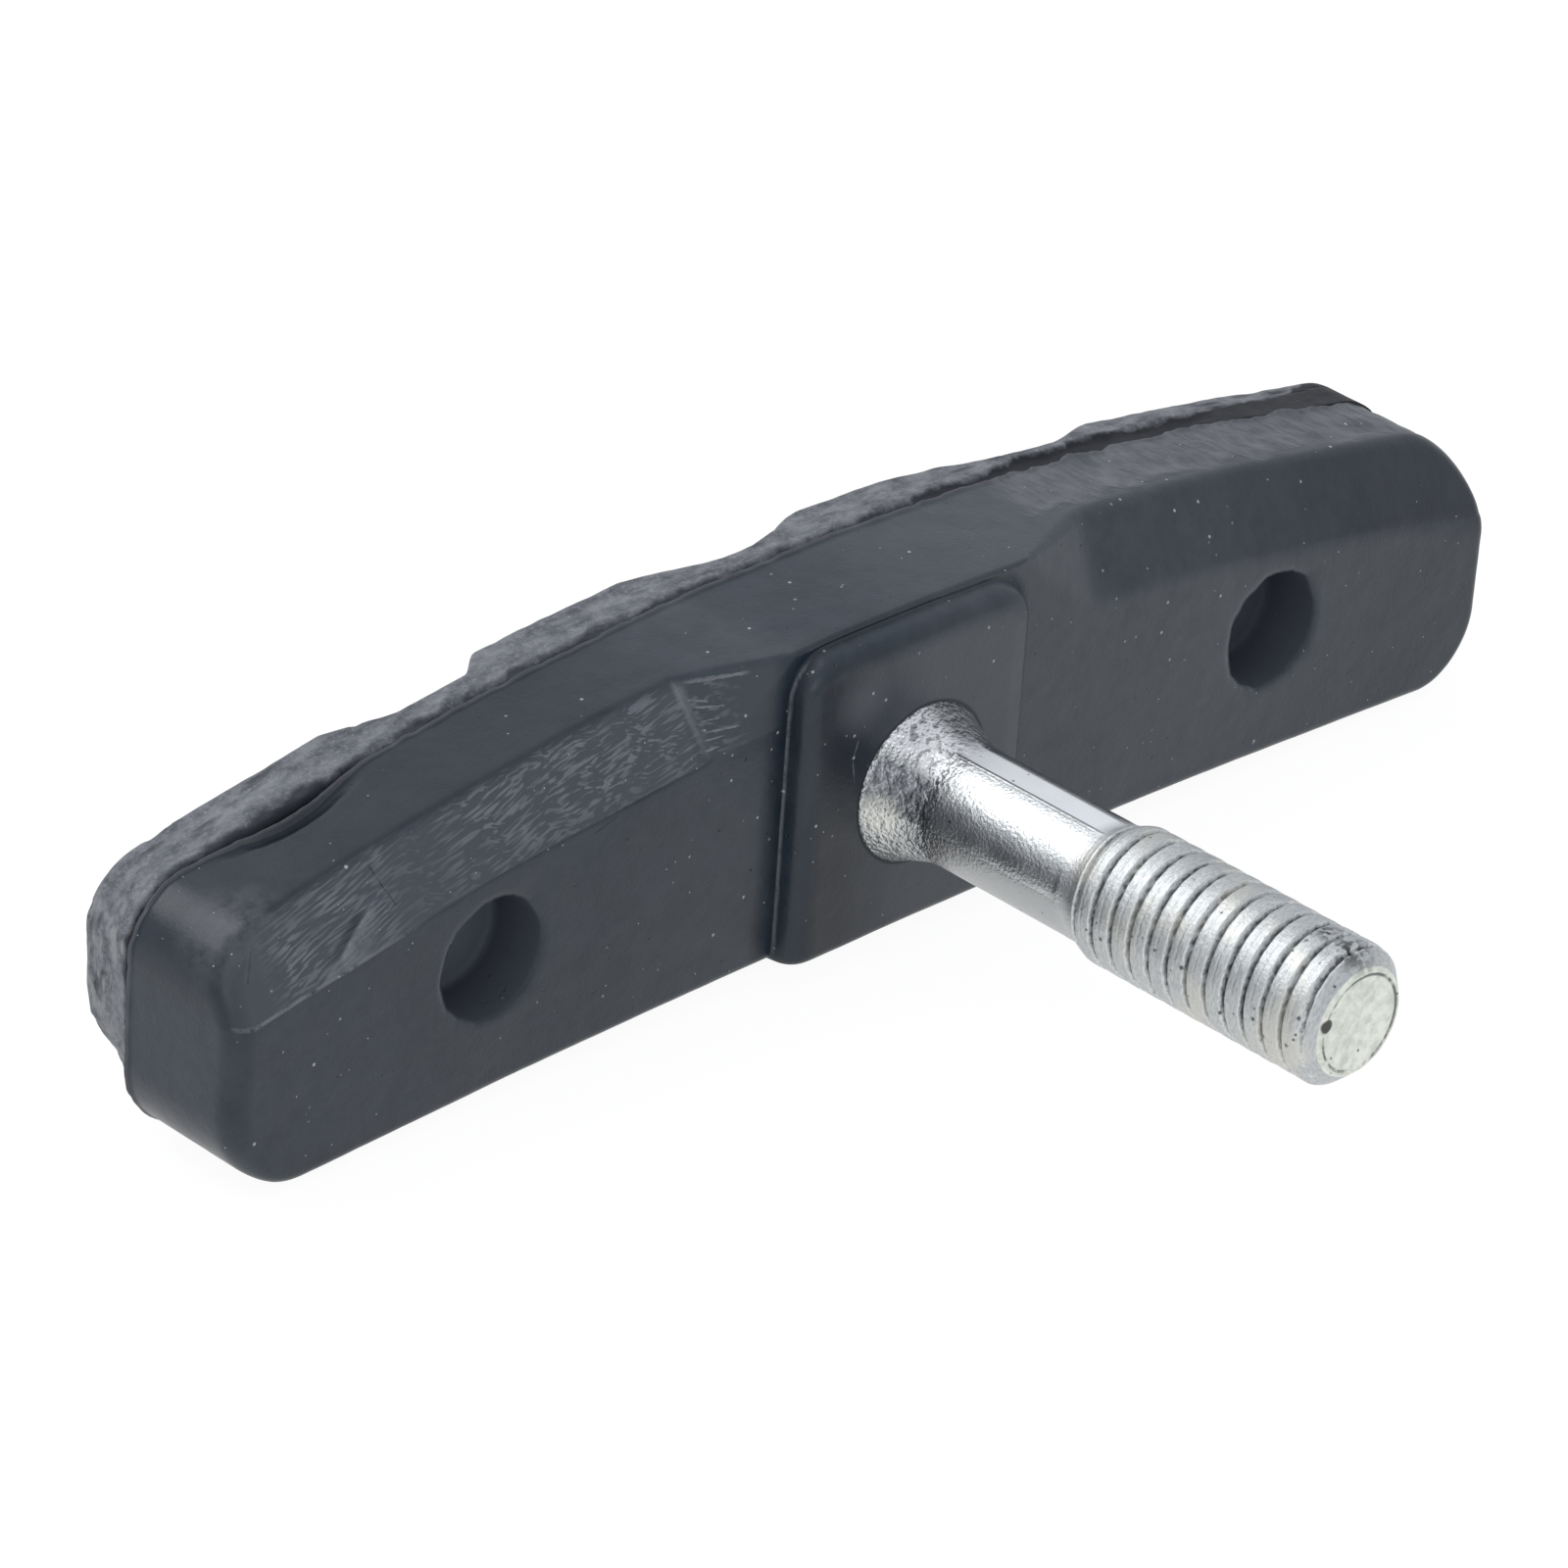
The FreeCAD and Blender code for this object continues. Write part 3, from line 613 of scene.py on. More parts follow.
def stud():
    """The stud: a rivet head, shank and shoulder inside the rubber, then a flared foot, a neck
    with a flat and the dies' ridge, the rolled thread and a chamfered tip with a fine rim."""
    flare_y = np.linspace(BOSS_FACE, -FLARE, 24)
    flare = NECK_RADIUS + (FOOT_RADIUS - NECK_RADIUS) * (1 + flare_y / FLARE) ** 1.5
    neck_y = np.linspace(-FLARE - 0.1, THREAD_START + 0.8, 34)
    thread_y = np.linspace(THREAD_START + 0.78, STUD_TIP + 0.3, 310)
    chamfer_y = np.linspace(STUD_TIP + 0.26, STUD_TIP + 0.04, 6)
    chamfer = np.linspace(2.44, 2.22, 6)
    tip = np.linspace(2.14, 0.15, 18)
    dip = 0.05 * np.exp(-(((tip - 2.0) / 0.07) ** 2)) + 0.03 * smooth((2.05 - tip) / 0.3)
    head = [[HEAD_END, 0.0], [HEAD_END, 1.6], [HEAD_END, HEAD_RADIUS - 0.3],
            [HEAD_END - 0.1, HEAD_RADIUS - 0.08], [HEAD_END - 0.3, HEAD_RADIUS],
            [PLATE_BACK + 0.05, HEAD_RADIUS], [PLATE_BACK, HEAD_RADIUS - 0.05]]
    shank = [[PLATE_BACK, SHANK_RADIUS + 0.1], [PLATE_BACK - 0.05, SHANK_RADIUS],
             [PLATE_FRONT + 0.05, SHANK_RADIUS], [PLATE_FRONT, SHANK_RADIUS + 0.1]]
    shoulder = [[PLATE_FRONT, FOOT_RADIUS - 0.1], [PLATE_FRONT - 0.05, FOOT_RADIUS],
                [2.0, FOOT_RADIUS], [0.1, FOOT_RADIUS]]
    rows = [
        head, shank, shoulder,
        np.column_stack([flare_y, flare]),
        np.column_stack([neck_y, np.full(len(neck_y), NECK_RADIUS)]),
        np.column_stack([thread_y, np.full(len(thread_y), ROOT_RADIUS)]),
        np.column_stack([chamfer_y, chamfer]),
        np.column_stack([STUD_TIP + dip, tip]),
        [[STUD_TIP + 0.03, 0.0]],
    ]
    profile = np.concatenate([np.array(row, float) for row in rows])

    def shaped(y, radius, angle):
        """Adds the thread, the neck's flat and ridge and small dents to the turned profile."""
        angle = angle + 0 * y
        thread, share = thread_radius(y, angle)
        threaded = (y < THREAD_START + 0.8) & (y > STUD_TIP + 0.29)
        radius = np.where(threaded, NECK_RADIUS * (1 - share) + thread * share, radius)
        chamfered = np.where(y < THREAD_START, 2.2 + (y - STUD_TIP) * 0.92, radius)
        radius = np.minimum(radius, chamfered)
        on_neck = band(y, THREAD_START + 0.6, -2.9, 0.7)
        degrees = np.degrees(angle)
        off_flat = degrees - FLAT_AT
        flat_reach = NECK_RADIUS * np.cos(np.radians(FLAT_HALF)) / np.cos(np.radians(off_flat))
        flat_reach = np.where(np.abs(off_flat) < FLAT_HALF, flat_reach, NECK_RADIUS)
        radius = radius + on_neck * (flat_reach - NECK_RADIUS)
        radius = radius + on_neck * 0.04 * np.exp(-(((degrees - DIE_LINE_AT) / 1.5) ** 2))
        place = np.stack([radius * np.cos(angle), y, radius * np.sin(angle)], -1)
        dents = 0.004 * rough(place, 0.5, 41) + 0.012 * lumps(place, 0.9, 42) * threaded
        return y, radius + dents * smooth((0.1 - y) / 0.5) * (radius > 2.2)

    points, quads, ends = turned(profile, POINTS_AROUND, shaped)
    piece = skin("zinc_stud", points, quads, ends)
    x, y, z = points.T
    off_crest = np.abs(thread_turn(y, np.arctan2(z, x)) - 0.5) * 2
    threaded = smooth((THREAD_START + 0.5 - y) / 0.5) * smooth((y - STUD_TIP - 0.35) / 0.2)
    paint(piece, "root", off_crest * threaded)
    return piece


class Finish:
    """A node material with one Principled shader, and short calls for its nodes."""

    def __init__(self, name, roughness, metallic=0.0):
        self.material = bpy.data.materials.new(name)
        self.material.use_nodes = True
        self.tree = self.material.node_tree
        self.shader = self.tree.nodes["Principled BSDF"]
        self.shader.inputs["Roughness"].default_value = roughness
        self.shader.inputs["Metallic"].default_value = metallic
        self.place = self.tree.nodes.new("ShaderNodeTexCoord").outputs["Object"]

    def node(self, kind, inputs=(), **settings):
        """Adds a node, sets its settings and fills its inputs with values or links."""
        made = self.tree.nodes.new("ShaderNode" + kind)
        for name, value in settings.items():
            setattr(made, name, value)
        for key, value in dict(inputs).items():
            self.put(made.inputs[key], value)
        return made

    def put(self, socket, value):
        """Links a socket, or sets its value. A colour is given as red, green and blue."""
        if isinstance(value, bpy.types.NodeSocket):
            self.tree.links.new(value, socket)
        elif socket.type == "RGBA":
            socket.default_value = (*value, 1.0)
        else:
            socket.default_value = value

    def math(self, operation, a, b=0.0):
        """One arithmetic step."""
        return self.node("Math", {0: a, 1: b}, operation=operation).outputs[0]

    def in_turn(self, operation, values):
        """One arithmetic step after another, over all the values."""
        total = values[0]
        for value in values[1:]:
            total = self.math(operation, total, value)
        return total

    def times(self, *values):
        """The product of the values."""
        return self.in_turn("MULTIPLY", values)

    def plus(self, *values):
        """The sum of the values."""
        return self.in_turn("ADD", values)

    def most(self, *values):
        """The greatest of the values."""
        return self.in_turn("MAXIMUM", values)

    def less(self, a, b):
        """The difference a - b."""
        return self.math("SUBTRACT", a, b)

    def off(self, value, centre=0.0):
        """How far the value is from a centre, either way."""
        return self.math("ABSOLUTE", self.less(value, centre))

    def ramp(self, value, low, high, start=0.0, end=1.0):
        """Maps value from low..high to start..end, held flat outside."""
        return self.node("MapRange", {
            "Value": value, "From Min": low, "From Max": high, "To Min": start, "To Max": end,
        }).outputs[0]

    def window(self, value, start, low, high, end):
        """Mask of low..high, fading to 0 at start and at end."""
        return self.times(self.ramp(value, start, low), self.ramp(value, end, high))

    def down_to(self, mask, share):
        """1 where the mask is 0, down to a share where it is 1."""
        return self.ramp(mask, 0.0, 1.0, 1.0, share)

    def vector(self, operation, a, b=(0, 0, 0), out="Vector"):
        """One step of vector arithmetic."""
        return self.node("VectorMath", {0: a, 1: b}, operation=operation).outputs[out]

    def along(self, vector, direction):
        """How far a vector reaches along a direction."""
        return self.vector("DOT_PRODUCT", vector, direction, "Value")

    def axes(self):
        """Object coordinates x, y and z, in millimetres."""
        return [self.along(self.place, tuple(way)) for way in np.eye(3) / MM]

    def seen_along_y(self):
        """Object coordinates in millimetres with y left out."""
        return self.vector("MULTIPLY", self.place, (1 / MM, 0, 1 / MM))

    def rotated(self, vector, angles):
        """A vector turned about the three axes, by angles in radians."""
        return self.node("Mapping", {"Vector": vector, "Rotation": angles}).outputs[0]

    def stretched(self, scale, turn=(0, 0, 0)):
        """Object coordinates, scaled and then turned."""
        return self.node("Mapping", {
            "Vector": self.place, "Scale": scale, "Rotation": turn,
        }).outputs[0]

    def noise(self, size, detail=3.0, roughness=0.5, vector=None):
        """Noise whose features are about size millimetres wide."""
        return self.node("TexNoise", {
            "Vector": vector or self.place, "Scale": 1 / (size * MM), "Detail": detail,
            "Roughness": roughness,
        }).outputs["Fac"]

    def mixed(self, share, a, b):
        """A number between a and b."""
        return self.node("Mix", {"Factor": share, "A": a, "B": b}).outputs["Result"]

    def blend(self, share, a, b):
        """A colour between a and b, by the Mix node's colour sockets."""
        return self.node("Mix", {0: share, 6: a, 7: b}, data_type="RGBA").outputs[2]

    def covered(self, base, layers):
        """Lays colours over a base in turn, each given after its mask and the mask's weight."""
        for mask, weight, colour in layers:
            base = self.blend(self.times(mask, weight), base, colour)
        return base

    def bump(self, height, distance, strength=1.0, below=None):
        """A bump whose full height is distance millimetres, on top of the one below."""
        made = self.node("Bump", {"Height": height, "Distance": distance * MM, "Strength": strength})
        if below is not None:
            self.put(made.inputs["Normal"], below)
        return made.outputs[0]

    def read(self, name):
        """The number painted on the piece under that name."""
        return self.node("Attribute", attribute_name=name).outputs["Fac"]

    def finish(self, **sockets):
        """Fills the shader's sockets and hands over the material."""
        for name, value in sockets.items():
            self.put(self.shader.inputs[name.replace("_", " ")], value)
        return self.material


def specks(finish, cell, radius, keep, seed, vector=None):
    """Mask of scattered specks: near a Voronoi cell's centre, in the share keep of cells."""
    moved = finish.vector("ADD", vector or finish.place, (seed * MM, seed * MM, 0))
    cells = finish.node("TexVoronoi", {"Vector": moved, "Scale": 1 / (cell * MM)}, feature="F1")
    near = finish.ramp(cells.outputs["Distance"], radius / cell, 0.4 * radius / cell)
    chance = finish.along(cells.outputs["Color"], (1, 0, 0))
    return finish.times(near, finish.math("LESS_THAN", chance, keep))


def warped(finish, size, amount):
    """Object coordinates bent by a slow noise, amount millimetres either way."""
    slow = finish.node("TexNoise", {"Vector": finish.place, "Scale": 1 / (size * MM), "Detail": 1.0})
    centred = finish.vector("SUBTRACT", slow.outputs["Color"], (0.5, 0.5, 0.5))
    bent = finish.vector("MULTIPLY", centred, (2 * amount * MM,) * 3)
    return finish.vector("ADD", finish.place, bent)


def scratches(finish, marks, uneven):
    """Mask of single straight marks, each given by the x and z of its two ends and its width in
    millimetres: 1 where a point, seen along Y, is nearer to the mark than its uneven half width."""
    seen = finish.seen_along_y()
    total = 0.0
    for x0, z0, x1, z1, width in marks:
        half = np.hypot(x1 - x0, z1 - z0) / 2
        run, climb = (x1 - x0) / (2 * half), (z1 - z0) / (2 * half)
        from_middle = finish.vector("SUBTRACT", seen, ((x0 + x1) / 2, 0, (z0 + z1) / 2))
        reach = finish.ramp(finish.off(finish.along(from_middle, (run, 0, climb))), half, 0.7 * half)
        beside = finish.off(finish.along(from_middle, (-climb, 0, run)))
        spare = finish.less(finish.times(uneven, width), beside)
        total = finish.most(total, finish.times(reach, finish.ramp(spare, 0.0, 0.25 * width)))
    return total


def brushed(finish, vector, lean, drawn_out, size):
    """Noise drawn out into strokes that lean by an angle, in degrees, from X towards Z."""
    leaning = finish.rotated(vector, (0, np.radians(lean), 0))
    longer = finish.vector("MULTIPLY", leaning, (drawn_out, 1, 1))
    return finish.noise(size, 1.5, 0.5, longer)


def hatched(finish, vector, lean, gap):
    """Uneven parallel lines, gap millimetres apart, that lean by an angle from X towards Z."""
    leaning = finish.rotated(vector, (0, np.radians(lean), 0))
    gap_at_scale_one = 0.314
    return finish.node("TexWave", {
        "Vector": leaning, "Scale": gap_at_scale_one / (gap * MM), "Distortion": 4.5,
        "Detail": 2.0, "Detail Scale": 0.35,
    }, bands_direction="Z").outputs["Fac"]


def spot(finish, place, radius):
    """Mask of a soft round spot at a place in millimetres."""
    centre = tuple(value * MM for value in place)
    gap = finish.vector("DISTANCE", finish.place, centre, "Value")
    return finish.ramp(gap, radius * MM, 0.2 * radius * MM)


# Single marks on the back: x and z of both ends, and the width
PALE_MARKS = (
    (-11.2, 6.9, -8.3, 6.95, 0.12),
    (-11.1, 6.3, -10.2, 6.15, 0.09),
    (-11.0, 6.0, -9.6, 5.9, 0.10),
    (-10.9, 5.45, -9.9, 5.5, 0.07),
    (-10.7, 5.05, -9.2, 5.12, 0.09),
    (-10.8, 4.75, -9.9, 4.85, 0.08),
    (-10.9, 4.38, -10.2, 4.5, 0.10),
    (-31.3, -4.3, -31.05, -3.9, 0.05),
    (-3.75, 3.15, -4.0, 2.3, 0.05),
    (-4.0, 2.3, -3.8, 1.2, 0.05),
)
DARK_MARKS = (
    (-27.3, 4.6, -26.6, 2.9, 0.06),
    (-16.9, 2.9, -15.6, 3.3, 0.06),
)


def cutter_strokes(finish, x):
    """Height of the mould cutter's strokes: fine leaning lines at the block's left end, and
    longer ones with short crossing ones in swirls further in."""
    bent = warped(finish, 5.0, 0.35)
    long_strokes = brushed(finish, bent, 15, 0.09, 0.13)
    crossing = brushed(finish, bent, -12, 0.16, 0.13)
    swirled = finish.ramp(finish.noise(1.5, 2.0, 0.5), 0.52, 0.6)
    further_in = finish.mixed(swirled, long_strokes, crossing)
    lines = finish.ramp(hatched(finish, bent, 20, 0.19), 0.2, 1.0, -0.04, 0.12)
    at_end = finish.plus(lines, brushed(finish, bent, 20, 0.08, 0.11))
    return finish.mixed(finish.ramp(x, -25.8, -26.8), further_in, at_end)


def stroke_wear(finish, x, rise):
    """How much of the cutter's strokes is left: less in worn patches, on a plainer stretch
    between the two kinds of strokes, near the bevel's foot and at the block's corner."""
    patches = finish.ramp(finish.noise(2.2, 3.0, 0.6), 0.34, 0.58, 0.3, 1.0)
    plainer = finish.window(x, -27.2, -26.2, -24.0, -22.5)
    above_foot = finish.ramp(rise, 0.1, 1.1, 0.5, 1.0)
    return finish.times(patches, finish.down_to(plainer, 0.5), above_foot, finish.ramp(x, -33.2, -31.8))


def pale_dust(finish):
    """Mask of dust: coarse and fine specks and short hairs all over, and more of the fine ones
    in two dusty places."""
    hairs = finish.vector("MULTIPLY", finish.rotated(finish.place, (0.3, 0.7, 0.2)), (0.3, 1, 1))
    dusty = finish.most(spot(finish, (-6.0, 0.8, 4.5), 6.0), spot(finish, (16.0, 1.5, 3.5), 5.0))
    return finish.most(
        specks(finish, 1.5, 0.1, 0.5, 0.0),
        specks(finish, 0.7, 0.052, 0.5, 3.3),
        specks(finish, 1.4, 0.06, 0.12, 7.7, hairs),
        finish.times(specks(finish, 0.8, 0.09, 0.5, 9.1), finish.ramp(dusty, 0.0, 0.3)),
    )


def core_rubber():
    """Moulded black rubber: dull bluish black, satin, with flow marks, fine pores, pale dust, the
    short strokes of the mould's cutter on the left bevel and scuffs. Light and shade are painted in
    places: a highlight on the top-left corner and along the left bevel's foot, shade in a strip before
    the fin and beside the slanting cut, and a crevice and pin holes painted lighter against their
    shade. Each part's colours are laid right after its masks, so that Cycles holds few values at a time."""
    finish = Finish("moulded_black_rubber", 0.34)
    finish.shader.inputs["IOR"].default_value = 1.5
    ramp, window, times, most = finish.ramp, finish.window, finish.times, finish.most
    x, _, z = finish.axes()
    rise, crest, seat = [finish.read(name) for name in ("rise", "crest", "seat")]
    back, hole, torn, shade = [finish.read(name) for name in ("back", "hole", "torn", "shade")]
    cloudy = finish.noise(2.2, 4.0, 0.6)
    uneven = finish.noise(0.5, 3.0, 0.7)
    mottled = finish.plus(times(cloudy, 0.6), times(finish.noise(0.7, 3.0, 0.6), 0.4))

    # The moulded skin, darker at the ends and greyer in the middle, with fine pores
    left_wing = ramp(x, -10.5, -11.5)
    at_ends = times(most(left_wing, ramp(x, 12.0, 16.0)), ramp(rise, 0.0, 0.15), finish.less(1.0, torn))
    in_middle = times(window(x, -15.0, -7.0, 18.0, 28.0), most(ramp(seat, 0.2, 1.5), ramp(x, -2.0, 3.0)))
    in_middle = times(in_middle, ramp(mottled, 0.36, 0.62, 0.35, 0.65))
    pores = specks(finish, 0.7, 0.07, 0.35, 12.3)
    base = finish.blend(ramp(mottled, 0.38, 0.64), (0.0095, 0.0185, 0.030), (0.0205, 0.031, 0.044))
    base = finish.covered(base, (
        (at_ends, 0.4, (0.006, 0.010, 0.017)),
        (in_middle, 1.0, (0.046, 0.057, 0.070)),
        (pores, 0.5, (0.006, 0.007, 0.010)),
    ))

    # The left bevel, with the facet at its inner end
    below_rim = times(ramp(rise, 3.1, 2.8), back)
    on_bevel = times(ramp(rise, 0.0, 0.06), below_rim, left_wing, ramp(crest, -0.02, 0.02))
    cutter = cutter_strokes(finish, x)
    marked = times(on_bevel, stroke_wear(finish, x, rise))
    near_facet = window(x, -12.5, -12.0, -7.5, -6.8)
    on_facet = times(ramp(crest, 0.0, -0.05), near_facet, ramp(rise, 0.0, 0.1), below_rim)
    base = finish.covered(base, (
        (on_bevel, 0.85, (0.064, 0.073, 0.090)),
        (times(ramp(cutter, 0.50, 0.60), marked), 0.75, (0.175, 0.189, 0.213)),
        (on_facet, 0.8, (0.048, 0.057, 0.068)),
    ))

    # The boss, darker on its left and greyer on its right
    left_boss = times(ramp(seat, -0.3, -0.9), ramp(x, -1.0, -3.8), back)
    right_boss = times(ramp(seat, -0.5, -1.1), ramp(x, -4.5, 0.5), back)
    base = finish.covered(base, (
        (left_boss, 0.6, (0.005, 0.007, 0.012)),
        (right_boss, 0.85, (0.050, 0.058, 0.070)),
    ))

    # The short slanting cut on the bevel: a painted shade strip on its left and a pale scuff on its
    # right
    fold = finish.read("fold")
    fold_shade = times(window(fold, -0.34, -0.16, -0.03, 0.03), window(z, 1.75, 2.1, 2.9, 3.2), on_bevel)
    fold_pale = times(finish.read("scuff"), ramp(fold, -0.02, 0.04), on_bevel)
    fold_pale = times(fold_pale, ramp(uneven, 0.35, 0.6, 0.25, 0.75))
    base = finish.covered(base, ((fold_pale, 1.0, (0.19, 0.20, 0.225)),))

    # Scuffs with a painted highlight on the top-left corner, a painted shade strip before the fin, the
    # torn edge and the tip of the fin
    # The top-left corner gets a painted highlight, mottled like scuffs, and the boss a pale bloom
    scuffed_corner_highlight = times(
        spot(finish, (-33.3, 3.6, 3.6), 2.6), ramp(finish.noise(0.8, 4.0, 0.65), 0.38, 0.6),
    )
    bloom = times(spot(finish, (-3.6, 0.0, 4.8), 1.7), ramp(cloudy, 0.1, 0.4))
    smudge_and_highlight = most(scuffed_corner_highlight, bloom)
    tears = finish.noise(0.42, 3.0, 0.6, finish.stretched((1.0, 0.3, 0.5), (0, 0, 0.5)))
    patchy = ramp(finish.noise(1.8, 4.0, 0.6), 0.34, 0.6, 0.4, 1.0)
    scuffed = times(torn, patchy, ramp(tears, 0.4, 0.58, 0.45, 1.0))
    past_fin = finish.read("crevice")
    base = finish.covered(base, (
        (smudge_and_highlight, 0.55, (0.105, 0.111, 0.123)),
        (shade, 0.45, (0.008, 0.010, 0.015)),
        (window(past_fin, -0.11, -0.05, 0.03, 0.08), 0.6, (0.095, 0.10, 0.11)),
        (scuffed, 0.9, (0.125, 0.132, 0.142)),
    ))

    # Pale lines and scratches with a painted highlight along the left bevel's foot, dust, dark marks
    # with the painted shade beside the slanting cut, and the ring round the stud's foot
    fan = ramp(brushed(finish, warped(finish, 2.0, 0.2), -3, 0.12, 0.2), 0.52, 0.62)
    fan = times(fan, on_facet, ramp(x, -8.5, -10.2))
    crest_line = times(ramp(finish.off(crest), 0.11, 0.03), left_wing, ramp(rise, 0.0, 0.2), near_facet)
    # A painted highlight along the left bevel's foot, near the block's left end
    foot_highlight_line = times(ramp(finish.off(rise), 0.11, 0.03), ramp(x, -25.5, -28.0))
    worn_and_highlit_lines = times(most(foot_highlight_line, crest_line), ramp(uneven, 0.3, 0.5))
    seam = times(ramp(finish.off(seat, 0.04), 0.035, 0.01), ramp(x, -5.5, -6.0), ramp(uneven, 0.25, 0.5))
    wobble = ramp(uneven, 0.3, 0.7, 0.2, 0.9)
    pale = most(scratches(finish, PALE_MARKS, wobble), worn_and_highlit_lines, times(seam, 0.55), times(fan, 0.5))
    pale = times(pale, back)
    dust = pale_dust(finish)
    off_axis = finish.vector("LENGTH", finish.seen_along_y(), out="Value")
    round_foot = times(ramp(off_axis, 3.62, 3.52), ramp(seat, -1.0, -1.5))
    # The dark marks include the painted shade strip beside the slanting cut
    dark = times(most(scratches(finish, DARK_MARKS, wobble), round_foot, fold_shade), back)
    base = finish.covered(base, (
        (pale, 0.75, (0.20, 0.21, 0.23)),
        (dust, 0.85, (0.50, 0.51, 0.52)),
        (dark, 0.5, (0.011, 0.013, 0.018)),
    ))

    # The crevice and the pin holes, painted lighter than the skin as a painted light against their shade
    # The crevice is painted lighter to ease the shade in it
    crevice = ramp(finish.plus(past_fin, times(finish.less(uneven, 0.5), 0.25)), 0.0, 0.08)
    # Painted light in the pin holes: walls lighter than the skin, the left hole's floor lighter still as
    # a lit patch
    hole_wall_lightened = (0.066, 0.076, 0.093)
    hole_floor_lightened = finish.blend(ramp(x, -1.0, 1.0), (0.105, 0.118, 0.142), hole_wall_lightened)
    base = finish.covered(base, (
        (crevice, 1.0, (0.062, 0.068, 0.079)),
        (hole, 0.9, finish.blend(finish.read("floor"), hole_wall_lightened, hole_floor_lightened)),
    ))

    # Gloss
    share = finish.plus(
        ramp(finish.noise(9.0, 2.0), 0.3, 0.7, 0.31, 0.37), ramp(cloudy, 0.3, 0.7, -0.03, 0.05),
        times(on_bevel, 0.14), times(scuffed, 0.15), times(hole, 0.35),
        times(crevice, 0.3), times(pale, 0.2), times(smudge_and_highlight, 0.15),
    )
    beside_seat = times(window(seat, -0.1, 0.02, 0.75, 1.35), back, ramp(x, -5.5, -6.0))
    dull_edge = times(window(seat, -1.3, -0.8, 0.2, 0.6), back, ramp(x, 4.5, 5.8))
    hidden = most(crevice, times(dark, 0.8))
    level = times(
        ramp(hidden, 0.0, 1.0, 0.45, 0.12), finish.down_to(beside_seat, 0.55),
        finish.down_to(shade, 0.5), finish.down_to(dull_edge, 0.25), finish.down_to(hole, 0.35),
    )

    # Relief
    grain = finish.bump(finish.noise(0.18, 3.0, 0.6), 0.012)
    lumpy = finish.bump(finish.noise(1.0, 3.0, 0.5), 0.02, below=grain)
    cut = finish.bump(times(cutter, marked), 0.10, below=lumpy)
    chipped = finish.bump(times(tears, torn), 0.16, below=cut)
    raised = finish.bump(finish.less(most(dust, pale), pores), 0.04, below=chipped)
    return finish.finish(Base_Color=base, Roughness=share, Specular_IOR_Level=level, Normal=raised)


def friction_rubber():
    """The friction compound: a paler, duller black with a torn, nicked and dusty skin, streaked
    ends and a neck beside the parting line painted dark as shade."""
    finish = Finish("friction_compound", 0.55)
    ramp, times, most = finish.ramp, finish.times, finish.most
    x, y, _ = finish.axes()
    cloudy = finish.noise(1.6, 5.0, 0.65)
    patches = ramp(finish.noise(0.9, 5.0, 0.7, finish.stretched((0.6, 1.3, 1.0))), 0.36, 0.64)
    past = finish.plus(finish.read("past"), times(finish.less(cloudy, 0.5), 0.8))
    neck = ramp(past, 0.08, -0.1)
    streaks = ramp(finish.noise(0.5, 4.0, 0.6, finish.stretched((1.0, 1.0, 0.3))), 0.48, 0.6)
    streaks = times(streaks, ramp(x, -34.3, -34.9))
    dust = most(specks(finish, 0.8, 0.08, 0.4, 5.0), specks(finish, 0.45, 0.05, 0.4, 1.7))
    flecks = ramp(finish.noise(0.24, 4.0, 0.75), 0.52, 0.66)
    nicks = specks(finish, 1.0, 0.38, 0.6, 6.1, finish.stretched((0.4, 2.2, 0.7), (0, 0, 0.1)))
    nicks = times(nicks, ramp(y, 8.3, 8.7))
    # Painted shade on the neck beside the parting line, darker towards the right
    neck_shade = finish.blend(ramp(x, -2.0, 12.0), (0.052, 0.057, 0.068), (0.019, 0.021, 0.026))
    base = finish.blend(patches, (0.055, 0.062, 0.075), (0.190, 0.200, 0.218))
    base = finish.covered(base, (
        (flecks, 0.55, (0.25, 0.26, 0.275)),
        (nicks, 0.8, (0.03, 0.033, 0.04)),
        (streaks, 1.0, (0.24, 0.245, 0.25)),
        (dust, 0.6, (0.3, 0.31, 0.31)),
        (neck, 1.0, neck_shade),
    ))
    share = ramp(cloudy, 0.3, 0.7, 0.5, 0.65)
    level = ramp(neck, 0.0, 1.0, 0.5, 0.2)
    grain = finish.bump(finish.noise(0.22, 4.0, 0.7), 0.035)
    lumpy = finish.bump(finish.less(cloudy, nicks), 0.08, below=grain)
    return finish.finish(Base_Color=base, Roughness=share, Specular_IOR_Level=level, Normal=lumpy)


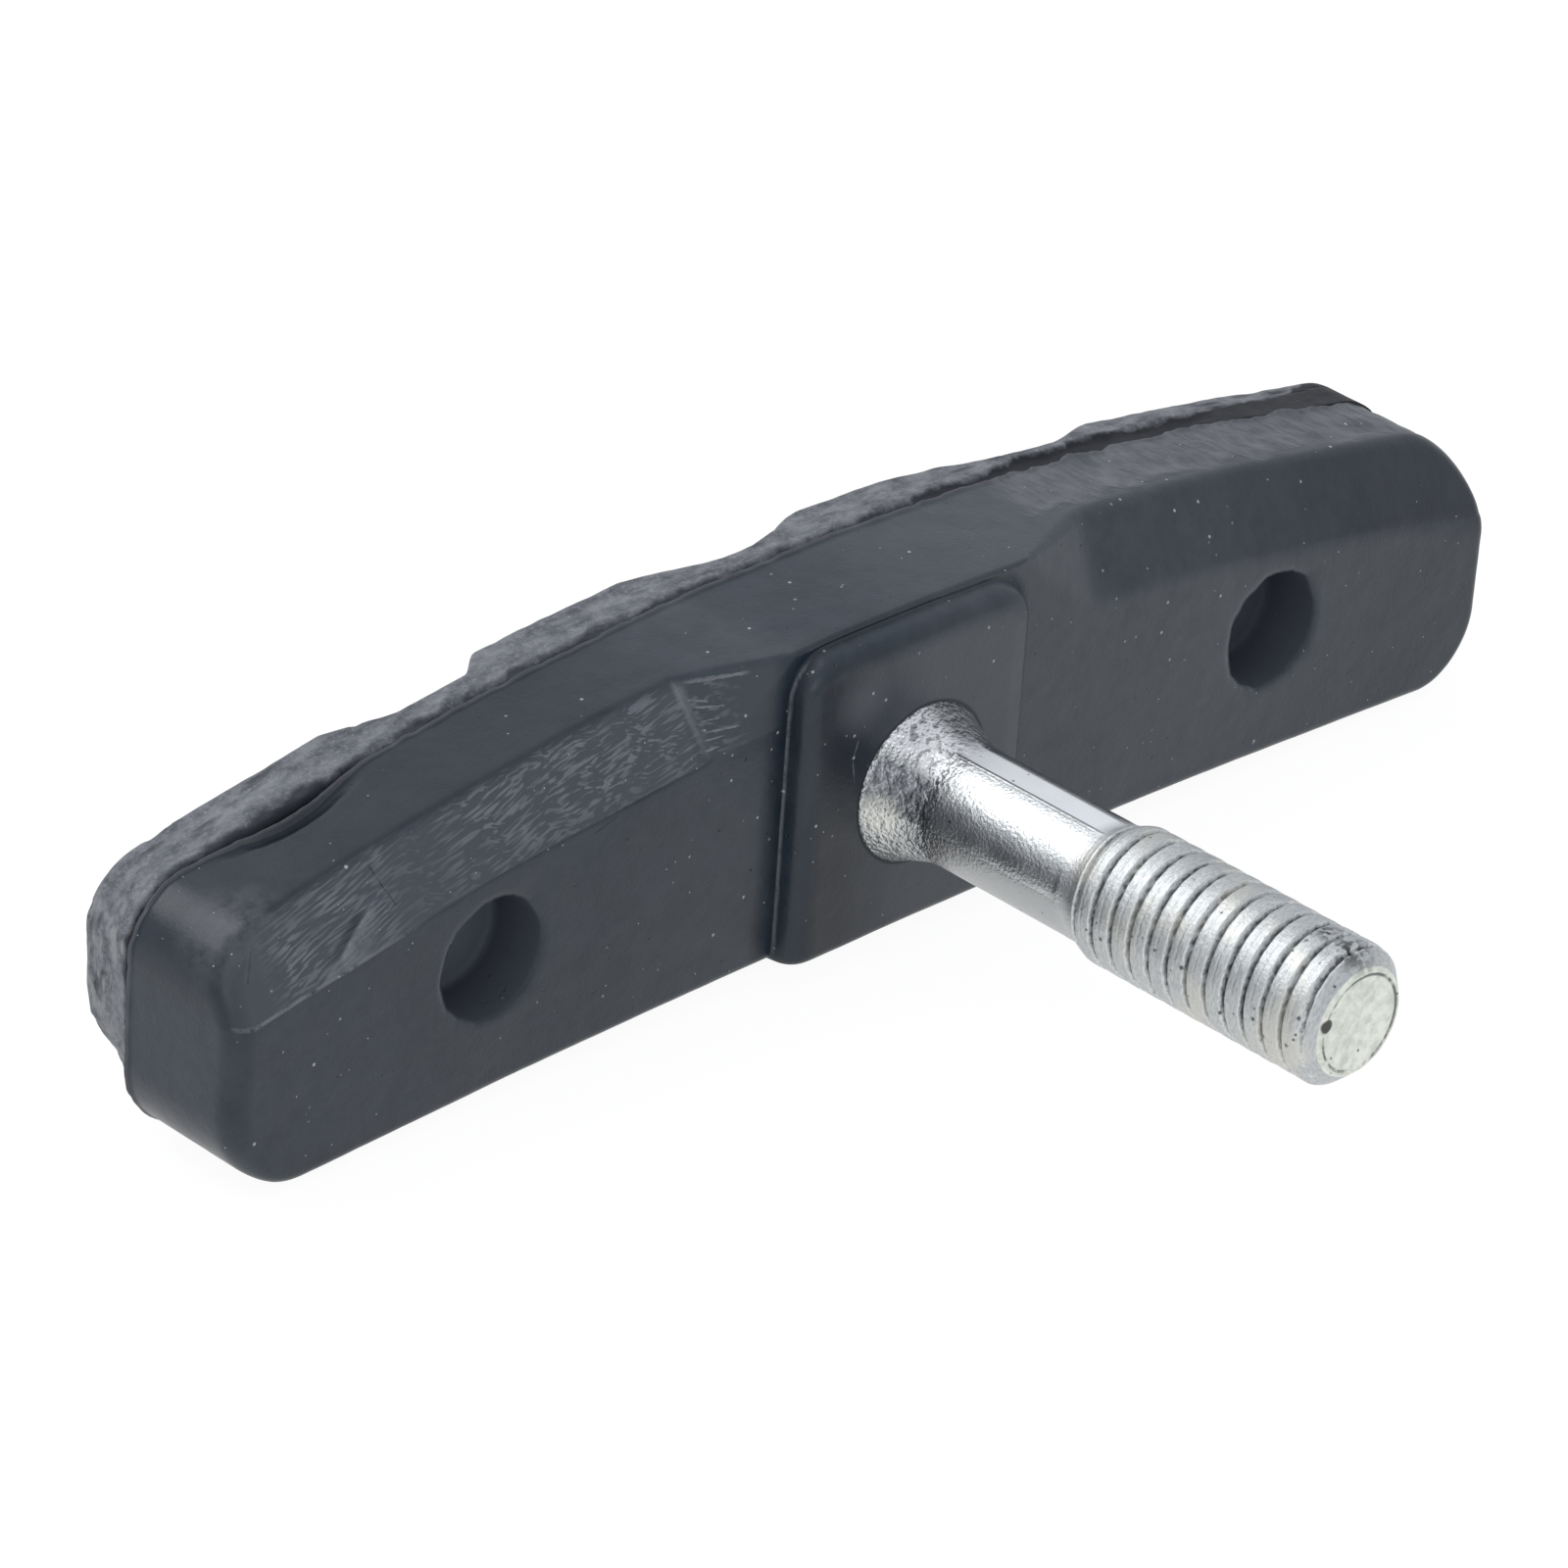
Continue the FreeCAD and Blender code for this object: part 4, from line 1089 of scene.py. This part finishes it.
def zinc_plating():
    """Bright zinc on rolled steel: pale grey, with a fine spangle on the foot and neck, a matte
    flat beside two die lines, dark specks and a dull, mottled cut face at the tip. Light and shade are
    painted in places: a highlight on one side of the foot and a pale reflection low on it, a dark
    reflection on the foot's left side beside real tarnish on its top, dark reflections on the neck
    beside the flat and underneath, shade in the ragged thread roots and highlights on the crest edges."""
    finish = Finish("zinc_plating", 0.3, 1.0)
    ramp, window, times, most = finish.ramp, finish.window, finish.times, finish.most
    x, y, z = finish.axes()
    angle = times(finish.math("ARCTAN2", z, x), 180 / np.pi)
    spangle = finish.noise(0.15, 2.0, 0.55)
    coarse = finish.noise(0.3, 2.0, 0.5)
    cloudy = finish.noise(1.4, 3.0, 0.6)

    # The foot and the neck, with painted highlights, a painted pale reflection and painted dark
    # reflections
    on_neck = window(y, -10.6, -9.8, -3.0, -1.8)
    on_foot = ramp(y, -3.4, -2.6)
    matte = times(window(angle, 72.0, 75.0, 102.0, 103.5), on_neck)
    # A painted dark reflection on the neck beside its flat
    dark_reflection_beside_flat = times(window(angle, 25.0, 40.0, 71.0, 74.0), on_neck)
    # A painted dimmer reflection on the neck's underside
    dim_reflection_underneath = times(ramp(angle, -110.0, -125.0), on_neck)
    lines = times(most(*[ramp(finish.off(angle, at), 1.3, 0.5) for at in (103.2, 107.0)]), on_neck)
    # The foot's left side is painted dark as a reflection of the rubber; its top is really tarnished
    foot_dark_reflection = times(ramp(angle, 132.0, 142.0), ramp(y, -0.05, -0.2))
    top = times(window(angle, 20.0, 40.0, 84.0, 92.0), 0.8)
    tarnish_and_dark_reflection = times(most(foot_dark_reflection, top), on_foot, ramp(coarse, 0.4, 0.56, 0.55, 1.0))
    # A painted highlight on one side of the foot, flecked dark
    foot_side_highlight = times(window(angle, 90.0, 98.0, 126.0, 136.0), on_foot)
    flecked = times(foot_side_highlight, ramp(coarse, 0.47, 0.41))
    # A painted pale reflection low on the foot
    foot_pale_reflection = spot(finish, (-3.08, -0.8, -0.3), 1.3)

    # The thread, with painted shade in its roots and a painted highlight along its crest edges
    on_thread = ramp(y, -9.8, -10.6)
    # Painted shade in the thread roots, with a ragged edge
    ragged_root = finish.plus(finish.read("root"), times(finish.less(coarse, 0.5), 0.5))
    root_shade = ramp(ragged_root, 0.83, 0.93)
    # A painted highlight along the thread's crest edges
    crest_edge_highlight = window(ragged_root, 0.66, 0.71, 0.72, 0.77)
    striped = finish.noise(0.1, 2.0, 0.6, finish.stretched((0.4, 1.6, 0.4)))
    striped = times(ramp(striped, 0.45, 0.6), on_thread)
    warm = times(ramp(finish.noise(2.6, 2.0, 0.5), 0.5, 0.62), on_thread)

    # The tip, its rim, and dark specks and grime
    on_tip = ramp(y, -23.55, -23.6)
    off_axis = finish.vector("LENGTH", finish.seen_along_y(), out="Value")
    rim_line = times(ramp(finish.off(off_axis, 2.03), 0.09, 0.03), on_tip, ramp(cloudy, 0.42, 0.52))
    grime = most(spot(finish, (-0.05, -22.9, 2.96), 1.3), spot(finish, (0.2, -21.6, 2.9), 0.9))
    grime = times(grime, ramp(coarse, 0.42, 0.56))
    tip_speck = ramp(spot(finish, (-1.91, -23.68, 0.52), 0.42), 0.25, 0.5)
    dark = most(
        specks(finish, 0.5, 0.08, 0.28, 2.0), specks(finish, 1.0, 0.13, 0.35, 4.0),
        grime, tip_speck, times(rim_line, 0.8),
    )
    pits = ramp(finish.noise(0.45, 4.0, 0.6), 0.4, 0.65)

    # Colour, gloss and relief
    base = finish.blend(ramp(cloudy, 0.3, 0.7), (0.54, 0.565, 0.575), (0.66, 0.68, 0.68))
    base = finish.covered(base, (
        (striped, 0.5, (0.36, 0.38, 0.39)),
        (crest_edge_highlight, 0.6, (0.86, 0.87, 0.86)),
        (root_shade, 0.8, (0.11, 0.115, 0.12)),
        (foot_side_highlight, 0.9, (0.88, 0.89, 0.90)),
        (flecked, 0.7, (0.22, 0.225, 0.235)),
        (tarnish_and_dark_reflection, 1.0, (0.19, 0.20, 0.215)),
        (dark_reflection_beside_flat, 0.85, (0.17, 0.175, 0.185)),
        (warm, 0.5, (0.68, 0.67, 0.60)),
        (dim_reflection_underneath, 0.7, (0.35, 0.36, 0.37)),
        (matte, 1.0, (0.88, 0.90, 0.92)),
        (foot_pale_reflection, 0.9, (0.84, 0.85, 0.80)),
        (on_tip, 1.0, finish.blend(pits, (0.92, 0.94, 0.88), (0.76, 0.79, 0.73))),
        (lines, 0.8, (0.10, 0.10, 0.11)),
        (dark, 0.85, (0.04, 0.04, 0.04)),
    ))
    share = finish.plus(
        ramp(cloudy, 0.3, 0.7, 0.3, 0.37), times(on_tip, 0.3), times(matte, 0.3),
        times(on_thread, 0.18), times(foot_pale_reflection, 0.15),
    )
    bumped = finish.bump(spangle, 0.025, finish.down_to(most(on_tip, matte), 0.4))
    bumped = finish.bump(coarse, 0.09, times(on_foot, 0.8), bumped)
    return finish.finish(Base_Color=base, Roughness=share, Normal=bumped)


def plain_steel():
    """Plain stamped steel of the hidden plate: grey, rolled along X, with a little stain."""
    finish = Finish("plain_plate_steel", 0.4, 1.0)
    rolled = finish.noise(0.25, 3.0, 0.6, finish.stretched((0.08, 1, 1)))
    stain = finish.ramp(finish.noise(6.0, 4.0, 0.6), 0.35, 0.75)
    base = finish.blend(stain, (0.42, 0.42, 0.43), (0.3, 0.29, 0.28))
    share = finish.ramp(rolled, 0.3, 0.7, 0.32, 0.5)
    return finish.finish(Base_Color=base, Roughness=share, Normal=finish.bump(rolled, 0.01))


def dress(piece, material, node):
    """Gives a piece its material and its body, and hides the CAD node it replaces."""
    piece.data.materials.append(material)
    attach(piece, "root")
    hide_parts(node)


dress(core(), core_rubber(), "rubber_block")
dress(friction_layer(), friction_rubber(), "rubber_block")
dress(stud(), zinc_plating(), "threaded_stud")
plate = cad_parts["backing_plate"]
for slot in plate.material_slots:
    slot.material = plain_steel()


def pale_floor():
    """A wide white floor. What the camera and the reflections see gets a little light of its
    own, so that it reads as white paper and still shows the pad's soft shadow."""
    half = 4.0
    level = FLOOR_LEVEL * MM
    mesh = bpy.data.meshes.new("floor")
    corners = [(-half, -half, level), (half, -half, level), (half, half, level), (-half, half, level)]
    mesh.from_pydata(corners, [], [(0, 1, 2, 3)])
    floor = bpy.data.objects.new("floor", mesh)
    bpy.context.scene.collection.objects.link(floor)
    finish = Finish("white_floor", 0.8)
    tree = finish.tree
    tree.nodes.remove(finish.shader)
    path = finish.node("LightPath")
    rays = ("Is Camera Ray", "Is Glossy Ray", "Is Transmission Ray")
    seen = finish.most(*[path.outputs[name] for name in rays])
    lit = finish.node("BsdfDiffuse", {"Color": (0.8, 0.8, 0.8)})
    dim = finish.node("BsdfDiffuse", {"Color": (0.10, 0.10, 0.101)})
    glow = finish.node("Emission", {"Color": (1, 1, 1), "Strength": 0.94})
    paper = finish.node("AddShader", {0: dim.outputs[0], 1: glow.outputs[0]})
    mixed = finish.node("MixShader", {0: seen, 1: lit.outputs[0], 2: paper.outputs[0]})
    output = next(node for node in tree.nodes if node.type == "OUTPUT_MATERIAL")
    tree.links.new(mixed.outputs[0], output.inputs[0])
    mesh.materials.append(finish.material)


def studio():
    """Plain soft studio light: a pale world, a broad overhead box behind the pad and a weaker
    fill box on the camera's side."""
    world = bpy.data.worlds.new("studio")
    bpy.context.scene.world = world
    world.use_nodes = True
    background = world.node_tree.nodes["Background"]
    background.inputs["Color"].default_value = (0.93, 0.95, 1.0, 1)
    background.inputs["Strength"].default_value = 0.76
    boxes = (
        ("overhead_box", (-0.28, 0.46, 0.72), 0.7, 0.5, 3.4),
        ("fill_box", (-0.8, -0.5, 0.6), 0.5, 0.5, 1.2),
    )
    for name, place, width, depth, power in boxes:
        lamp = bpy.data.lights.new(name, "AREA")
        lamp.shape = "RECTANGLE"
        lamp.size = width
        lamp.size_y = depth
        lamp.energy = power
        box = bpy.data.objects.new(name, lamp)
        aim = np.array(place) / np.linalg.norm(place)
        side = np.cross([0, 1, 0], aim)
        side /= np.linalg.norm(side)
        rows = np.column_stack([side, np.cross(aim, side), aim])
        box.matrix_world = Matrix.Translation(place) @ Matrix(rows.tolist()).to_4x4()
        bpy.context.scene.collection.objects.link(box)


def camera():
    """The photograph's camera, from the pad's fitted place: azimuth, elevation and roll turn it,
    and the origin of the pad falls on a given pixel at a given distance."""
    azimuth, elevation, roll = np.radians([-46.25, 29.04, 4.24])
    focal, distance, frame_size = 9002.71, 350.0, 1600
    origin_at = np.array([939.64, 797.41]) - frame_size / 2
    back = np.array([np.sin(azimuth), -np.cos(azimuth), np.tan(elevation)]) * np.cos(elevation)
    right = np.cross([0, 0, 1], back)
    right /= np.linalg.norm(right)
    up = np.cross(back, right)
    turned_right = np.cos(roll) * right + np.sin(roll) * up
    turned_up = np.cos(roll) * up - np.sin(roll) * right
    axes = np.array([turned_right, turned_up, back])
    offset = np.array([origin_at[0] * distance / focal, -origin_at[1] * distance / focal, -distance])
    place = -axes.T @ offset * MM
    lens = bpy.data.cameras.new("camera")
    lens.sensor_width = 36.0
    lens.lens = focal * lens.sensor_width / frame_size
    lens.clip_start = 0.01
    lens.clip_end = 20.0
    eye = bpy.data.objects.new("camera", lens)
    eye.matrix_world = Matrix.Translation(place.tolist()) @ Matrix(axes.T.tolist()).to_4x4()
    bpy.context.scene.collection.objects.link(eye)
    bpy.context.scene.camera = eye


pale_floor()
studio()
camera()
bpy.context.scene.view_settings.view_transform = "Standard"
